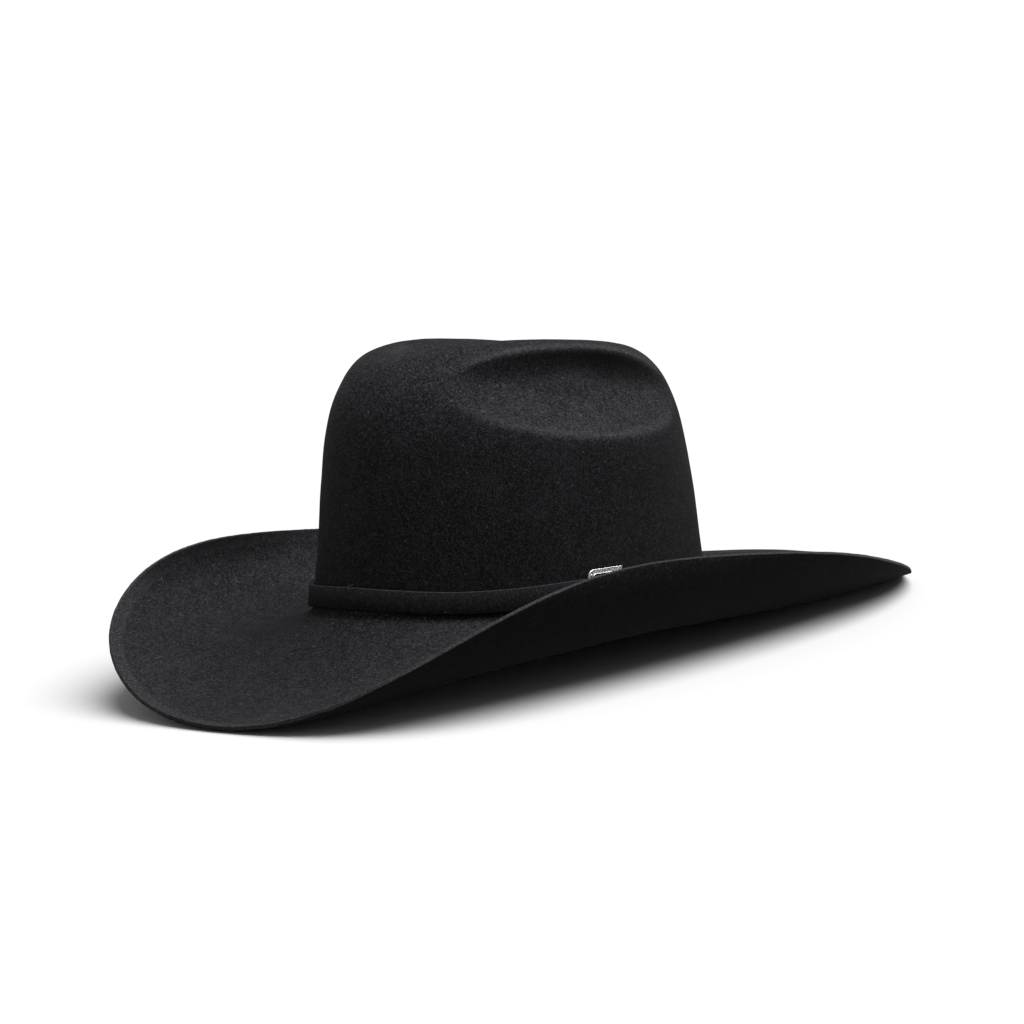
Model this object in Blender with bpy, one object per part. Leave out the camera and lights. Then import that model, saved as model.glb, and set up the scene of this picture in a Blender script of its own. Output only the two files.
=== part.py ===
"""Black felt cowboy hat with a buckled hatband, sweatband and lining.

Run with: blender --background --python part.py
Metres, +Z up. The hat stands on the dips of its brim on the plane z = 0. The front is -Y and
the wearer's left is +X. Sizes below are in millimetres and degrees.
"""
import math

import bmesh
import bpy
import numpy as np
from mathutils import Matrix, Vector

MM = 0.001

# Head opening and felt.
HALF_LENGTH = 105.0        # outside of the felt at the brim break, front to back
HALF_WIDTH = 86.5
FELT = 2.4                 # felt thickness

# Brim, at seven stations from the front (0) round to the back (180). Both sides are alike.
STATIONS = (0, 30, 60, 90, 120, 150, 180)
BREAK = (35.5, 32.0, 28.2, 24.3, 17.0, 11.5, 9.5)    # height of the brim break above the table
BRIM_DROP = (-38, -31, -26, -25, -20, -11.5, -6.5)   # slope where the brim leaves the crown
BRIM_RIM = (8, 37, 85, 82, 46, 4, -1)                # slope at the cut edge
BRIM_WIDTH = (102, 106.5, 102, 92, 98.5, 101.5, 97)  # along the felt
BRIM_CURL = 1.43                                  # above 1, the slope turns late

# Crown before creasing.
CROWN_TOP = 148.3          # height above the table at the middle
CROWN_FALL = 17.0          # the top falls this much over half a length, towards the back
CROWN_ARCH = 6.5           # and this much more at either end
CROWN_LEAN = 0.13          # backward lean for each unit of height
TAPER_FRONT = 0.09
TAPER_BACK = 0.09
TAPER_SIDE = 0.20
SQUARENESS = 6.0           # superellipse power of the wall and the shoulder
SQUARENESS_FRONT = 0.25    # more at the front, less at the back

# Creases.
VALLEY_DEPTH = 18.0
VALLEY_FRONT = -66.0       # where the centre valley begins, and where it is full
VALLEY_FULL = -22.0
VALLEY_BACK = 78.0
VALLEY_NARROW = 9.0        # half-width at the front and towards the back
VALLEY_WIDE = 21.0
DENT_DEPTH = 15.0
DENT_Y = 8.0
DENT_BELOW = 20.0          # the dent's deepest line below the top
DENT_ABOVE = 19.0          # from that line up to the dent's rim, and down to its lip
DENT_UNDER = 24.0
DENT_HALF_LENGTH = 70.0
DENT_RAMP = 0.85           # share of the way in over which the dent deepens
DENT_LIP = 0.10            # rounding of the lip, as a share of the ramp

# Hatband. Heights are above the break and out is away from the crown's wall.
BAND_LOW = 2.0
BAND_HIGH = 12.5
BAND_GAP = 0.4
BAND_THICK = 2.4
BAND_SKIVED = 1.2          # thinned end that loops round the bar
BAND_END_THICK = 1.6       # free end
BAR_ANGLE = 83.5           # place of the buckle's bar round the crown
FREE_END = 46.0            # strap past the bar

# Buckle. Along is towards the back of the hat, counted from the bar.
BAR_OUT = 3.2
BAR_RADIUS = 0.9
FRAME_LOW = -0.95
FRAME_HIGH = 16.4
FRAME_FRONT = -19.0
FRAME_REAR = 2.0
FRAME_ARM = 2.55
FRAME_FRONT_ARM = 3.4
FRAME_THICK = 1.6
FRAME_CORNER = 3.6
PRONG_WIDTH = 2.0
PRONG_THICK = 1.1
SLOT_HEIGHT = 3.2

# Keeper and tip.
KEEPER_ALONG = 24.0
KEEPER_LENGTH = 6.0
KEEPER_INSIDE = (1.0, 5.8)     # out
KEEPER_OUTSIDE = (0.5, 6.6)
KEEPER_HEIGHT = (1.7, 12.8)
KEEPER_WALL = 0.8
TIP_START = 37.5
TIP_END = 50.6
TIP_INSIDE = (3.6, 6.0)
TIP_WALL = 0.5
TIP_RIVET = 1.3
TACK_ANGLES = {"front": 0.0, "right": 262.0, "rear": 180.0}

# Inside the crown. Out is counted from the outside of the felt.
SWEAT_OUT = -2.8           # outer face of the sweatband at its lower edge
SWEAT_THICK = 1.2
SWEAT_LOW = -0.4
SWEAT_HIGH = 48.0
SWEAT_LEAN = 3.5           # its top edge stands this much further in
SWEAT_SEAM = 0.5           # gap between its two ends at the back
REED_RADIUS = 0.9
REED_DOWN = 1.7            # reed's middle below the break
LINER_DEEP = 3.9           # lining's outer face below the outside of the felt
LINER_THICK = 0.5
LINER_CLIMBS = (18, 21, 26, 30, 33.5, 37, 40.5)
TIP_CLIMBS = (41.5, 44, 47.5, 51, 55, 60, 65.5, 71.5, 78, 84)
SHIELD_DEEP = 5.1
SHIELD_THICK = 0.3
SHIELD_CLIMBS = (65.5, 71.5, 78, 84)

GAP = 0.3


def clear_scene():
    for obj in list(bpy.data.objects):
        bpy.data.objects.remove(obj, do_unlink=True)


def material(name, colour, roughness, metallic=0.0, alpha=1.0):
    """A plain Principled material."""
    mat = bpy.data.materials.new(name)
    mat.use_nodes = True
    shader = mat.node_tree.nodes["Principled BSDF"]
    shader.inputs["Base Color"].default_value = (*colour, 1.0)
    shader.inputs["Roughness"].default_value = roughness
    shader.inputs["Metallic"].default_value = metallic
    shader.inputs["Alpha"].default_value = alpha
    return mat


def add_object(name, mesh, mat):
    obj = bpy.data.objects.new(name, mesh)
    bpy.context.scene.collection.objects.link(obj)
    mesh.materials.append(mat)
    mesh.shade_smooth()
    mesh.set_sharp_from_angle(angle=math.radians(40))
    return obj


def add_mesh(name, bm, mat):
    mesh = bpy.data.meshes.new(name)
    bm.to_mesh(mesh)
    bm.free()
    return add_object(name, mesh, mat)


def add_bmesh(name, bm, mat):
    """As add_mesh, for a closed body whose faces may not all point outwards yet."""
    bmesh.ops.recalc_face_normals(bm, faces=bm.faces)
    return add_mesh(name, bm, mat)


def modifier(obj, kind, **settings):
    mod = obj.modifiers.new(kind.title(), kind)
    for key, value in settings.items():
        setattr(mod, key, value)
    return mod


def smoothstep(low, high, x):
    t = np.clip((np.asarray(x, float) - low) / (high - low), 0.0, 1.0)
    return t * t * (3.0 - 2.0 * t)


# The hat's shape. Angles run from the front, round the wearer's left, in radians.

def station_curve(values, angle):
    """The smooth, mirror-alike curve through one value for each station."""
    at = np.radians(STATIONS)
    order = np.arange(len(STATIONS))
    terms = np.linalg.solve(np.cos(np.outer(at, order)), np.array(values, float))
    return np.cos(np.multiply.outer(angle, order)) @ terms


def break_height(angle):
    return station_curve(BREAK, angle)


def top_height(y):
    """Height of the uncreased crown's top, which arches and falls towards the back."""
    share = y / HALF_LENGTH
    return CROWN_TOP - CROWN_FALL * share - CROWN_ARCH * share ** 2


def outward(angle):
    """Level unit normal of the head oval."""
    x = np.sin(angle) / HALF_WIDTH
    y = -np.cos(angle) / HALF_LENGTH
    size = np.hypot(x, y)
    return x / size, y / size


def brim_point(angle, part, below=0.0):
    """Point on the brim's upper face, part of the way from the break (0) to the edge (1)."""
    steps = np.linspace(0.0, 1.0, 81)
    drop = station_curve(BRIM_DROP, angle)
    rim = station_curve(BRIM_RIM, angle)
    slope = np.radians(drop + (rim - drop) * steps ** BRIM_CURL)
    width = station_curve(BRIM_WIDTH, angle) / (len(steps) - 1)
    run = np.concatenate([[0.0], np.cumsum(np.cos(0.5 * (slope[1:] + slope[:-1])))]) * width
    rise = np.concatenate([[0.0], np.cumsum(np.sin(0.5 * (slope[1:] + slope[:-1])))]) * width
    here = np.interp(part, steps, slope)
    out = np.interp(part, steps, run) + below * math.sin(here)
    nx, ny = outward(angle)
    x = HALF_WIDTH * math.sin(angle) + nx * out
    y = -HALF_LENGTH * math.cos(angle) + ny * out
    z = break_height(angle) + np.interp(part, steps, rise) - below * math.cos(here)
    return np.array([x, y, z])


def crown_point(angle, climb):
    """Point on the uncreased crown: climb is 0 degrees at the break and 90 at the top."""
    c, s = math.cos(math.radians(climb)), math.sin(math.radians(climb))
    power = SQUARENESS + SQUARENESS_FRONT * math.cos(angle)
    size = (c ** power + s ** power) ** (1.0 / power)
    reach, height = c / size, s / size
    end = TAPER_FRONT if math.cos(angle) > 0 else TAPER_BACK
    taper = end * math.cos(angle) ** 2 + TAPER_SIDE * math.sin(angle) ** 2
    reach *= 1.0 - taper * height
    x = HALF_WIDTH * math.sin(angle) * reach
    y = -HALF_LENGTH * math.cos(angle) * reach
    low = break_height(angle)
    z = low + (top_height(y) - low) * height
    return np.array([x, y + CROWN_LEAN * (z - low), z])


def wall_point(angle, height, out=0.0):
    """Point at a height above the break, this far out square to the crown's wall."""
    top = top_height(-HALF_LENGTH * math.cos(angle)) - break_height(angle)
    end = TAPER_FRONT if math.cos(angle) > 0 else TAPER_BACK
    shrink = (end * math.cos(angle) ** 2 + TAPER_SIDE * math.sin(angle) ** 2) / top
    reach = 1.0 - shrink * max(height, 0.0)
    nx, ny = outward(angle)
    x = HALF_WIDTH * math.sin(angle) * reach
    y = -HALF_LENGTH * math.cos(angle) * reach + CROWN_LEAN * height
    inward = nx * HALF_WIDTH * math.sin(angle) * shrink
    inward -= ny * (HALF_LENGTH * math.cos(angle) * shrink + CROWN_LEAN)
    square = np.array([nx, ny, inward]) / math.hypot(1.0, inward)
    return np.array([x, y, break_height(angle) + height]) + out * square


def creased(point):
    """The centre valley and the two side dents."""
    x, y, z = point
    below = top_height(y) - z
    half_height = DENT_UNDER if below > DENT_BELOW else DENT_ABOVE
    rim = math.hypot((y - DENT_Y) / DENT_HALF_LENGTH, (below - DENT_BELOW) / half_height)
    way_in = (1.0 - rim) / DENT_RAMP
    way_in = min(0.5 * (way_in + math.hypot(way_in, DENT_LIP)), 1.0)
    dent = DENT_DEPTH * way_in * (2.0 - way_in) * float(smoothstep(10.0, 45.0, abs(x)))
    half = VALLEY_NARROW + (VALLEY_WIDE - VALLEY_NARROW) * float(smoothstep(-60.0, 30.0, y))
    along = float(smoothstep(VALLEY_FRONT, VALLEY_FULL, y) * (1 - smoothstep(38.0, VALLEY_BACK, y)))
    deep = float(1.0 - smoothstep(20.0, 70.0, below))
    valley = VALLEY_DEPTH * math.exp(-(x / half) ** 2) * along * deep
    return np.array([x - math.copysign(dent, x), y, z - valley])


def angles(count):
    return [2.0 * math.pi * i / count for i in range(count)]


def bridge(bm, rings, closed=True):
    """Quads between rings of vertices that have the same count."""
    for low, high in zip(rings, rings[1:]):
        last = len(low) if closed else len(low) - 1
        for i in range(last):
            j = (i + 1) % len(low)
            bm.faces.new((low[i], low[j], high[j], high[i]))


def new_ring(bm, points):
    return [bm.verts.new(Vector(p) * MM) for p in points]


def swept(sections, closed):
    """A solid from equal closed cross-sections, joined in order, capped unless it closes."""
    bm = bmesh.new()
    rings = [new_ring(bm, section) for section in sections]
    bridge(bm, rings + rings[:1] if closed else rings)
    if not closed:
        bm.faces.new(rings[0])
        bm.faces.new(rings[-1])
    return bm


def box_mesh(low, high):
    """A box between two corners, in millimetres."""
    bm = bmesh.new()
    size = Vector(high) - Vector(low)
    middle = (Vector(high) + Vector(low)) * 0.5
    matrix = Matrix.Translation(middle * MM) @ Matrix.Diagonal((*(size * MM), 1.0))
    bmesh.ops.create_cube(bm, size=1.0, matrix=matrix)
    return bm


def cutter(name, bm, frame=None):
    bmesh.ops.recalc_face_normals(bm, faces=bm.faces)
    mesh = bpy.data.meshes.new(name)
    bm.to_mesh(mesh)
    bm.free()
    obj = bpy.data.objects.new(name, mesh)
    bpy.context.scene.collection.objects.link(obj)
    obj.hide_render = True
    obj.display_type = "WIRE"
    if frame is not None:
        obj.matrix_world = frame
    return obj


# Felt.

AROUND = 60
CROWN_CLIMBS = (4, 9, 15, 21, 26, 30, 33.5, 37, 40.5, 44, 47.5, 51, 55, 60, 65.5, 71.5, 78, 84)
BRIM_PARTS = (0.035, 0.10, 0.19, 0.29, 0.40, 0.51, 0.62, 0.72, 0.81, 0.89, 0.95, 1.0)
FOLD = ((2.2, 0.0), (0.6, 0.5))    # heights and outs of the round fold between crown and brim


def felt_body(mat):
    bm = bmesh.new()
    around = angles(AROUND)
    rings = []
    for climb in reversed(CROWN_CLIMBS):
        rings.append(new_ring(bm, [creased(crown_point(a, climb)) for a in around]))
    for height, out in FOLD:
        rings.append(new_ring(bm, [wall_point(a, height, out) for a in around]))
    for part in BRIM_PARTS:
        rings.append(new_ring(bm, [brim_point(a, part) for a in around]))
    bridge(bm, rings)
    top = bm.verts.new(Vector(creased(crown_point(0.0, 90.0))) * MM)
    for i in range(AROUND):
        bm.faces.new((top, rings[0][i], rings[0][(i + 1) % AROUND]))
    bmesh.ops.recalc_face_normals(bm, faces=bm.faces)
    if top.link_faces[0].normal.z < 0:
        bmesh.ops.reverse_faces(bm, faces=bm.faces)
    obj = add_mesh("felt_body", bm, mat)
    modifier(obj, "SOLIDIFY", thickness=FELT * MM, offset=-1.0, use_even_offset=True)
    table = cutter("table_cutter", box_mesh((-260, -260, -30), (260, 260, 0)))
    modifier(obj, "BOOLEAN", object=table, operation="DIFFERENCE", solver="EXACT")
    return obj


# Hatband. Along is measured on the strap's line from the buckle's bar, towards the back.

FINE = np.radians(np.linspace(-60.0, 540.0, 6001))


def strap_line():
    """Length of the strap's line up to each angle of FINE."""
    offset = BAND_GAP + 0.5 * BAND_THICK
    step = np.hypot((HALF_WIDTH + offset) * np.cos(FINE), (HALF_LENGTH + offset) * np.sin(FINE))
    length = np.concatenate([[0.0], np.cumsum(0.5 * (step[1:] + step[:-1]) * np.diff(FINE))])
    return length - np.interp(math.radians(BAR_ANGLE), FINE, length)


LINE = strap_line()


def along_to_angle(along):
    return float(np.interp(along, LINE, FINE))


def round_once():
    """Length of one turn of the strap's line."""
    return float(np.interp(math.radians(BAR_ANGLE + 360.0), FINE, LINE))


def strap_rows():
    """Strap in plan from its fixed end to its free end: along, inner face, outer face."""
    inner, outer = BAND_GAP, BAND_GAP + BAND_THICK
    turn = round_once()
    over = BAR_OUT + BAR_RADIUS + 2 * GAP + BAND_SKIVED
    rows = [(1.5, 0.6, 1.8), (6.0, 0.5, 1.7), (10.0, 0.5, 1.7)]
    rows += [(16.0, 1.4, 3.2), (24.0, 1.4, 3.2), (32.0, 1.4, 3.2)]
    rows += [(38.0, 0.7, 2.8), (44.0, inner, outer)]
    first, last, count = 50.0, turn - 26.0, 60
    rows += [(first + (last - first) * i / count, inner, outer) for i in range(count + 1)]
    rise = ((-20.0, 0.4, 2.8), (-17.0, 0.4, 2.7), (-14.5, 0.5, 2.5), (-11.5, 1.4, 3.2), (-8.0, 4.0, 5.7), (-4.5, 5.4, 7.0))
    rows += [(turn + along, low, high) for along, low, high in rise]
    rows += [(turn - 1.5, over, over + BAND_END_THICK), (turn + 1.5, over, over + BAND_END_THICK)]
    fall = ((5.0, 5.7), (10.0, 4.8), (15.0, 3.9), (20.0, 3.7), (26.0, 3.7), (32.0, 3.7), (38.0, 3.9), (FREE_END, 3.9))
    rows += [(turn + along, low, low + BAND_END_THICK) for along, low in fall]
    return rows


def strap_section(along, inner, outer):
    angle = along_to_angle(along)
    return [
        wall_point(angle, BAND_LOW, inner),
        wall_point(angle, BAND_LOW, outer),
        wall_point(angle, BAND_HIGH, outer),
        wall_point(angle, BAND_HIGH, inner),
    ]


def wall_frame(angle, height, out):
    """Axes beside the crown: X round the crown towards the back, Y up the wall, Z out."""
    here = Vector(wall_point(angle, height, out))
    along = Vector(wall_point(angle + 0.02, height, out)) - Vector(wall_point(angle - 0.02, height, out))
    up = Vector(wall_point(angle, 16.0, out)) - Vector(wall_point(angle, 0.0, out))
    along.normalize()
    face = along.cross(up).normalized()
    up = face.cross(along)
    return Matrix.Translation(here * MM) @ Matrix((along, up, face)).transposed().to_4x4()


BAND_MIDDLE = 0.5 * (BAND_LOW + BAND_HIGH)
FRAME_MIDDLE = 0.5 * (FRAME_LOW + FRAME_HIGH)


def wrap_section(turn, frame):
    """The strap where it loops round the bar, turn degrees on from the crown's side."""
    inside = BAR_RADIUS + GAP
    outside = inside + BAND_SKIVED
    t = math.radians(turn)
    section = []
    for radius, height in ((outside, BAND_LOW), (inside, BAND_LOW), (inside, BAND_HIGH), (outside, BAND_HIGH)):
        place = Vector((-radius * math.sin(t), height - FRAME_MIDDLE, -radius * math.cos(t)))
        section.append(frame @ (place * MM) / MM)
    return section


def hatband_strap(mat, frame):
    folded = ((8.5, 2.1, 3.3), (5.5, 3.1, 4.3), (2.8, 4.2, 5.4))
    sections = []
    for row in folded:
        low_in, low_out, high_out, high_in = strap_section(*row)
        sections.append([low_out, low_in, high_in, high_out])
    sections += [wrap_section(turn, frame) for turn in (180, 155, 130, 105, 80, 55, 30, 5)]
    sections += [strap_section(*row) for row in strap_rows()]
    obj = add_bmesh("hatband_strap", swept(sections, closed=False), mat)
    middle = BAND_MIDDLE - FRAME_MIDDLE
    half = 0.5 * SLOT_HEIGHT
    hole = box_mesh((-12.5, middle - half, -6.0), (-2.7, middle + half, 6.0))
    notch = box_mesh((-3.4, middle - half, -6.0), (2.7, middle + half, 2.5))
    for name, bm in (("strap_slot_cutter", hole), ("wrap_notch_cutter", notch)):
        tool = cutter(name, bm, frame)
        modifier(obj, "BOOLEAN", object=tool, operation="DIFFERENCE", solver="EXACT")
    return obj


def rounded_outline(low, high, radii, steps=5):
    """Rectangle with rounded corners, anticlockwise from the lower left one."""
    corners = ((low[0], low[1], 180), (high[0], low[1], 270), (high[0], high[1], 0), (low[0], high[1], 90))
    points = []
    for (x, y, start), radius in zip(corners, radii):
        cx = x + radius if x == low[0] else x - radius
        cy = y + radius if y == low[1] else y - radius
        count = steps if radius > 0 else 0
        for i in range(count + 1):
            t = math.radians(start + 90.0 * i / max(count, 1))
            points.append((cx + radius * math.cos(t), cy + radius * math.sin(t)))
    return points


def plate(outline, low, high):
    """A flat solid: this outline in X and Y, between two heights."""
    bm = bmesh.new()
    bottom = new_ring(bm, [(x, y, low) for x, y in outline])
    top = new_ring(bm, [(x, y, high) for x, y in outline])
    bridge(bm, [bottom, top])
    bm.faces.new(bottom)
    bm.faces.new(top)
    return bm


def child(obj, parent):
    obj.parent = parent
    return obj


def cut_child(obj, name, bm, parent):
    tool = child(cutter(name, bm), parent)
    modifier(obj, "BOOLEAN", object=tool, operation="DIFFERENCE", solver="EXACT")


def soft_edges(obj, width):
    modifier(
        obj, "BEVEL", width=width * MM, segments=2, limit_method="ANGLE", angle_limit=math.radians(50)
    )


def pivot(name, frame):
    """An empty whose axes a piece is built on, and on whose Y axis it turns."""
    empty = bpy.data.objects.new(name, None)
    empty.empty_display_size = 0.01
    bpy.context.scene.collection.objects.link(empty)
    empty.matrix_world = frame
    return empty


def buckle_frame(mat, parent):
    half = 0.5 * (FRAME_HIGH - FRAME_LOW)
    corner = FRAME_CORNER
    outline = rounded_outline((FRAME_FRONT, -half), (FRAME_REAR, half), (corner, 1.4, 1.4, corner))
    obj = add_bmesh("buckle_frame", plate(outline, -0.5 * FRAME_THICK, 0.5 * FRAME_THICK), mat)
    low = (FRAME_FRONT + FRAME_FRONT_ARM, -half + FRAME_ARM)
    high = (FRAME_REAR + 4.0, half - FRAME_ARM)
    opening = plate(rounded_outline(low, high, (1.4, 0, 0, 1.4)), -4.0, 4.0)
    cut_child(obj, "frame_opening_cutter", opening, parent)
    soft_edges(obj, 0.35)
    return child(obj, parent)


def buckle_bar(mat, parent):
    length = (FRAME_HIGH - FRAME_LOW) - 2 * (FRAME_ARM + GAP)
    bm = bmesh.new()
    bmesh.ops.create_cone(
        bm,
        cap_ends=True,
        segments=20,
        radius1=BAR_RADIUS * MM,
        radius2=BAR_RADIUS * MM,
        depth=length * MM,
        matrix=Matrix.Rotation(math.radians(90), 4, "X"),
    )
    return child(add_bmesh("buckle_bar", bm, mat), parent)


def buckle_prong(mat, parent):
    """A ring round the bar, with a shank that rises to rest on the frame's front arm."""
    middle = BAND_MIDDLE - FRAME_MIDDLE
    half = 0.5 * PRONG_WIDTH
    inside, outside = BAR_RADIUS + 0.25, BAR_RADIUS + 1.15
    sections = []
    for turn in angles(24):
        c, s = math.cos(turn), math.sin(turn)
        corners = ((inside, -half), (outside, -half), (outside, half), (inside, half))
        sections.append([(r * c, middle + y, r * s) for r, y in corners])
    obj = add_bmesh("buckle_prong", swept(sections, closed=True), mat)
    rest = 0.5 * FRAME_THICK + 0.25 + 0.5 * PRONG_THICK
    path = ((-1.5, 0.0), (-2.6, 0.1), (-4.5, 0.5), (-7.5, 1.1), (-11.0, rest), (-19.4, rest))
    shank = []
    for (x, z), width in zip(path, (0.9, 0.9, 1.0, 1.0, 1.0, 0.7)):
        y, t = half * width, 0.5 * PRONG_THICK
        shank.append([(x, middle + a, z + b) for a, b in ((-y, -t), (y, -t), (y, t), (-y, t))])
    tool = child(cutter("prong_shank", swept(shank, closed=False)), parent)
    modifier(obj, "BOOLEAN", object=tool, operation="UNION", solver="EXACT")
    return child(obj, parent)


def keeper_loop(mat, parent):
    """A flat tube round both layers of the strap."""
    def tube(inside, height, corner, reach):
        outline = rounded_outline((height[0], inside[0]), (height[1], inside[1]), (corner,) * 4, steps=4)
        bm = bmesh.new()
        near = new_ring(bm, [(-reach, y, z) for y, z in outline])
        far = new_ring(bm, [(reach, y, z) for y, z in outline])
        bridge(bm, [near, far])
        bm.faces.new(near)
        bm.faces.new(far)
        return bm

    low, high = (h - BAND_MIDDLE for h in KEEPER_HEIGHT)
    wide = (low - KEEPER_WALL, high + KEEPER_WALL)
    reach = 0.5 * KEEPER_LENGTH
    obj = add_bmesh("keeper_loop", tube(KEEPER_OUTSIDE, wide, 1.0, reach), mat)
    cut_child(obj, "keeper_cutter", tube(KEEPER_INSIDE, (low, high), 0.3, reach + 2.0), parent)
    return child(obj, parent)


def strap_tip(mat, parent):
    """A metal cup over the strap's free end, with a rounded point."""
    half = 0.5 * (BAND_HIGH - BAND_LOW) + 1.0
    reach = 0.5 * (TIP_END - TIP_START)
    outline = rounded_outline((-reach, -half), (reach, half), (0.6, 4.0, 4.0, 0.6))
    low, high = TIP_INSIDE
    obj = add_bmesh("strap_tip", plate(outline, low - TIP_WALL, high + TIP_WALL), mat)
    free = FREE_END - 0.5 * (TIP_START + TIP_END) + 1.2
    inside = half - 0.5
    cut_child(obj, "tip_cutter", box_mesh((-reach - 3.0, -inside, low), (free, inside, high)), parent)
    return child(obj, parent)


def strap_tip_rivet(mat, parent):
    bm = bmesh.new()
    low = TIP_INSIDE[1] + TIP_WALL + 0.1
    bmesh.ops.create_cone(
        bm,
        cap_ends=True,
        segments=20,
        radius1=TIP_RIVET * MM,
        radius2=0.6 * TIP_RIVET * MM,
        depth=0.6 * MM,
        matrix=Matrix.Translation(Vector((-3.0, 0.0, low + 0.3)) * MM),
    )
    return child(add_bmesh("strap_tip_rivet", bm, mat), parent)


def band_tack(name, angle, mat):
    """A thread from the crown over the strap's upper edge."""
    radius = 0.3
    top = BAND_GAP + BAND_THICK
    path = ((14.0, 0.7), (13.7, 1.5), (13.4, 2.6), (13.2, top + 0.55), (12.2, top + 0.8), (11.0, top + 0.75))
    sections = []
    for i, (height, out) in enumerate(path):
        before, after = path[max(i - 1, 0)], path[min(i + 1, len(path) - 1)]
        dh, do = after[0] - before[0], after[1] - before[1]
        size = math.hypot(dh, do)
        section = []
        for turn in angles(8):
            across, aside = radius * math.cos(turn), radius * math.sin(turn)
            section.append((across, height - aside * do / size, out + aside * dh / size))
        sections.append(section)
    obj = add_bmesh(name, swept(sections, closed=False), mat)
    obj.matrix_world = wall_frame(angle, 0.0, 0.0)
    return obj


# Inside the crown.

def sweatband(mat):
    """A leather strip that goes once round, with its seam at the back."""
    count = 64
    levels = np.linspace(SWEAT_LOW, SWEAT_HIGH, 4)
    half = 0.5 * SWEAT_SEAM / HALF_WIDTH
    sections = []
    for i in range(count + 1):
        angle = math.pi + half + (2.0 * math.pi - 2.0 * half) * i / count
        outer, inner = [], []
        for level in levels:
            out = SWEAT_OUT - SWEAT_LEAN * max(level, 0.0) / SWEAT_HIGH
            outer.append(wall_point(angle, level, out))
            inner.append(wall_point(angle, level, out - SWEAT_THICK))
        sections.append(outer + inner[::-1])
    return add_bmesh("sweatband", swept(sections, closed=False), mat)


def sweatband_reed(mat):
    sections = []
    for angle in angles(60):
        ring = []
        for turn in angles(8):
            out = SWEAT_OUT - 0.8 + REED_RADIUS * math.cos(turn)
            ring.append(wall_point(angle, -REED_DOWN + REED_RADIUS * math.sin(turn), out))
        sections.append(ring)
    return add_bmesh("sweatband_reed", swept(sections, closed=True), mat)


def sweatband_bow(mat):
    outline = (
        (-9.0, -3.4), (-1.6, -1.2), (1.6, -1.2), (9.0, -3.4), (9.0, 3.4), (1.6, 1.2), (-1.6, 1.2), (-9.0, 3.4)
    )
    obj = add_bmesh("sweatband_bow", plate(outline, -0.8, 0.8), mat)
    obj.matrix_world = wall_frame(math.pi, 7.0, SWEAT_OUT - SWEAT_THICK - 2.5)
    return obj


def inside_point(angle, climb, deep):
    """Point this far inside the creased crown, square to its surface."""
    if climb >= 90.0:
        return creased(crown_point(angle, 90.0)) - np.array([0.0, 0.0, deep])
    side = creased(crown_point(angle + 0.01, climb)) - creased(crown_point(angle - 0.01, climb))
    rise = creased(crown_point(angle, climb + 0.5)) - creased(crown_point(angle, climb - 0.5))
    square = np.cross(side, rise)
    return creased(crown_point(angle, climb)) - deep * square / np.linalg.norm(square)


def lining_wall(name, climbs, deep, thick, mat):
    sections = []
    for angle in angles(AROUND):
        outer = [inside_point(angle, climb, deep) for climb in climbs]
        inner = [inside_point(angle, climb, deep + thick) for climb in climbs]
        sections.append(outer + inner[::-1])
    return add_bmesh(name, swept(sections, closed=True), mat)


def lining_top(name, climbs, deep, thick, mat):
    bm = bmesh.new()
    around = angles(AROUND)
    rings = []
    for climb in reversed(climbs):
        rings.append(new_ring(bm, [inside_point(a, climb, deep) for a in around]))
    for climb in climbs:
        rings.append(new_ring(bm, [inside_point(a, climb, deep + thick) for a in around]))
    bridge(bm, rings)
    for ring, depth in ((rings[0], deep), (rings[-1], deep + thick)):
        pole = bm.verts.new(Vector(inside_point(0.0, 90.0, depth)) * MM)
        for i in range(AROUND):
            bm.faces.new((pole, ring[i], ring[(i + 1) % AROUND]))
    return add_bmesh(name, bm, mat)


def main():
    clear_scene()
    felt = material("black_felt", (0.012, 0.012, 0.014), 0.95)
    silver = material("silver", (0.80, 0.80, 0.79), 0.22, metallic=1.0)
    thread = material("black_thread", (0.02, 0.02, 0.02), 0.8)
    leather = material("black_leather", (0.03, 0.022, 0.018), 0.5)
    plastic = material("reed_plastic", (0.05, 0.05, 0.05), 0.4)
    ribbon = material("black_ribbon", (0.02, 0.02, 0.022), 0.5)
    satin = material("black_satin", (0.03, 0.03, 0.034), 0.35)
    clear = material("clear_plastic", (0.9, 0.9, 0.9), 0.08, alpha=0.3)

    felt_body(felt)
    site = wall_frame(math.radians(BAR_ANGLE), FRAME_MIDDLE, BAR_OUT)
    hatband_strap(felt, site)
    buckle = pivot("buckle_pivot", site)
    buckle_frame(silver, buckle)
    buckle_bar(silver, buckle)
    prong = pivot("prong_pivot", site)
    buckle_prong(silver, prong)
    keeper_angle = along_to_angle(KEEPER_ALONG)
    keeper = pivot("keeper_slide", wall_frame(keeper_angle, BAND_MIDDLE, 0.0))
    keeper_loop(silver, keeper)
    tip_angle = along_to_angle(0.5 * (TIP_START + TIP_END))
    tip = pivot("tip_place", wall_frame(tip_angle, BAND_MIDDLE, 0.0))
    strap_tip(silver, tip)
    strap_tip_rivet(silver, tip)
    for side, degrees in TACK_ANGLES.items():
        band_tack("band_tack_" + side, math.radians(degrees), thread)

    sweatband(leather)
    sweatband_reed(plastic)
    sweatband_bow(ribbon)
    lining_wall("liner_side", LINER_CLIMBS, LINER_DEEP, LINER_THICK, satin)
    lining_top("liner_tip", TIP_CLIMBS, LINER_DEEP, LINER_THICK, satin)
    lining_top("tip_shield", SHIELD_CLIMBS, SHIELD_DEEP, SHIELD_THICK, clear)


main()
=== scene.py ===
"""Looks of the black felt cowboy hat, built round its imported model.

The scene is in metres. The shape functions work in millimetres and degrees, and the meshes are
scaled as they are made. The front is -Y and the wearer's left is +X.
"""
from math import cos, pi, radians, sin

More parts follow.
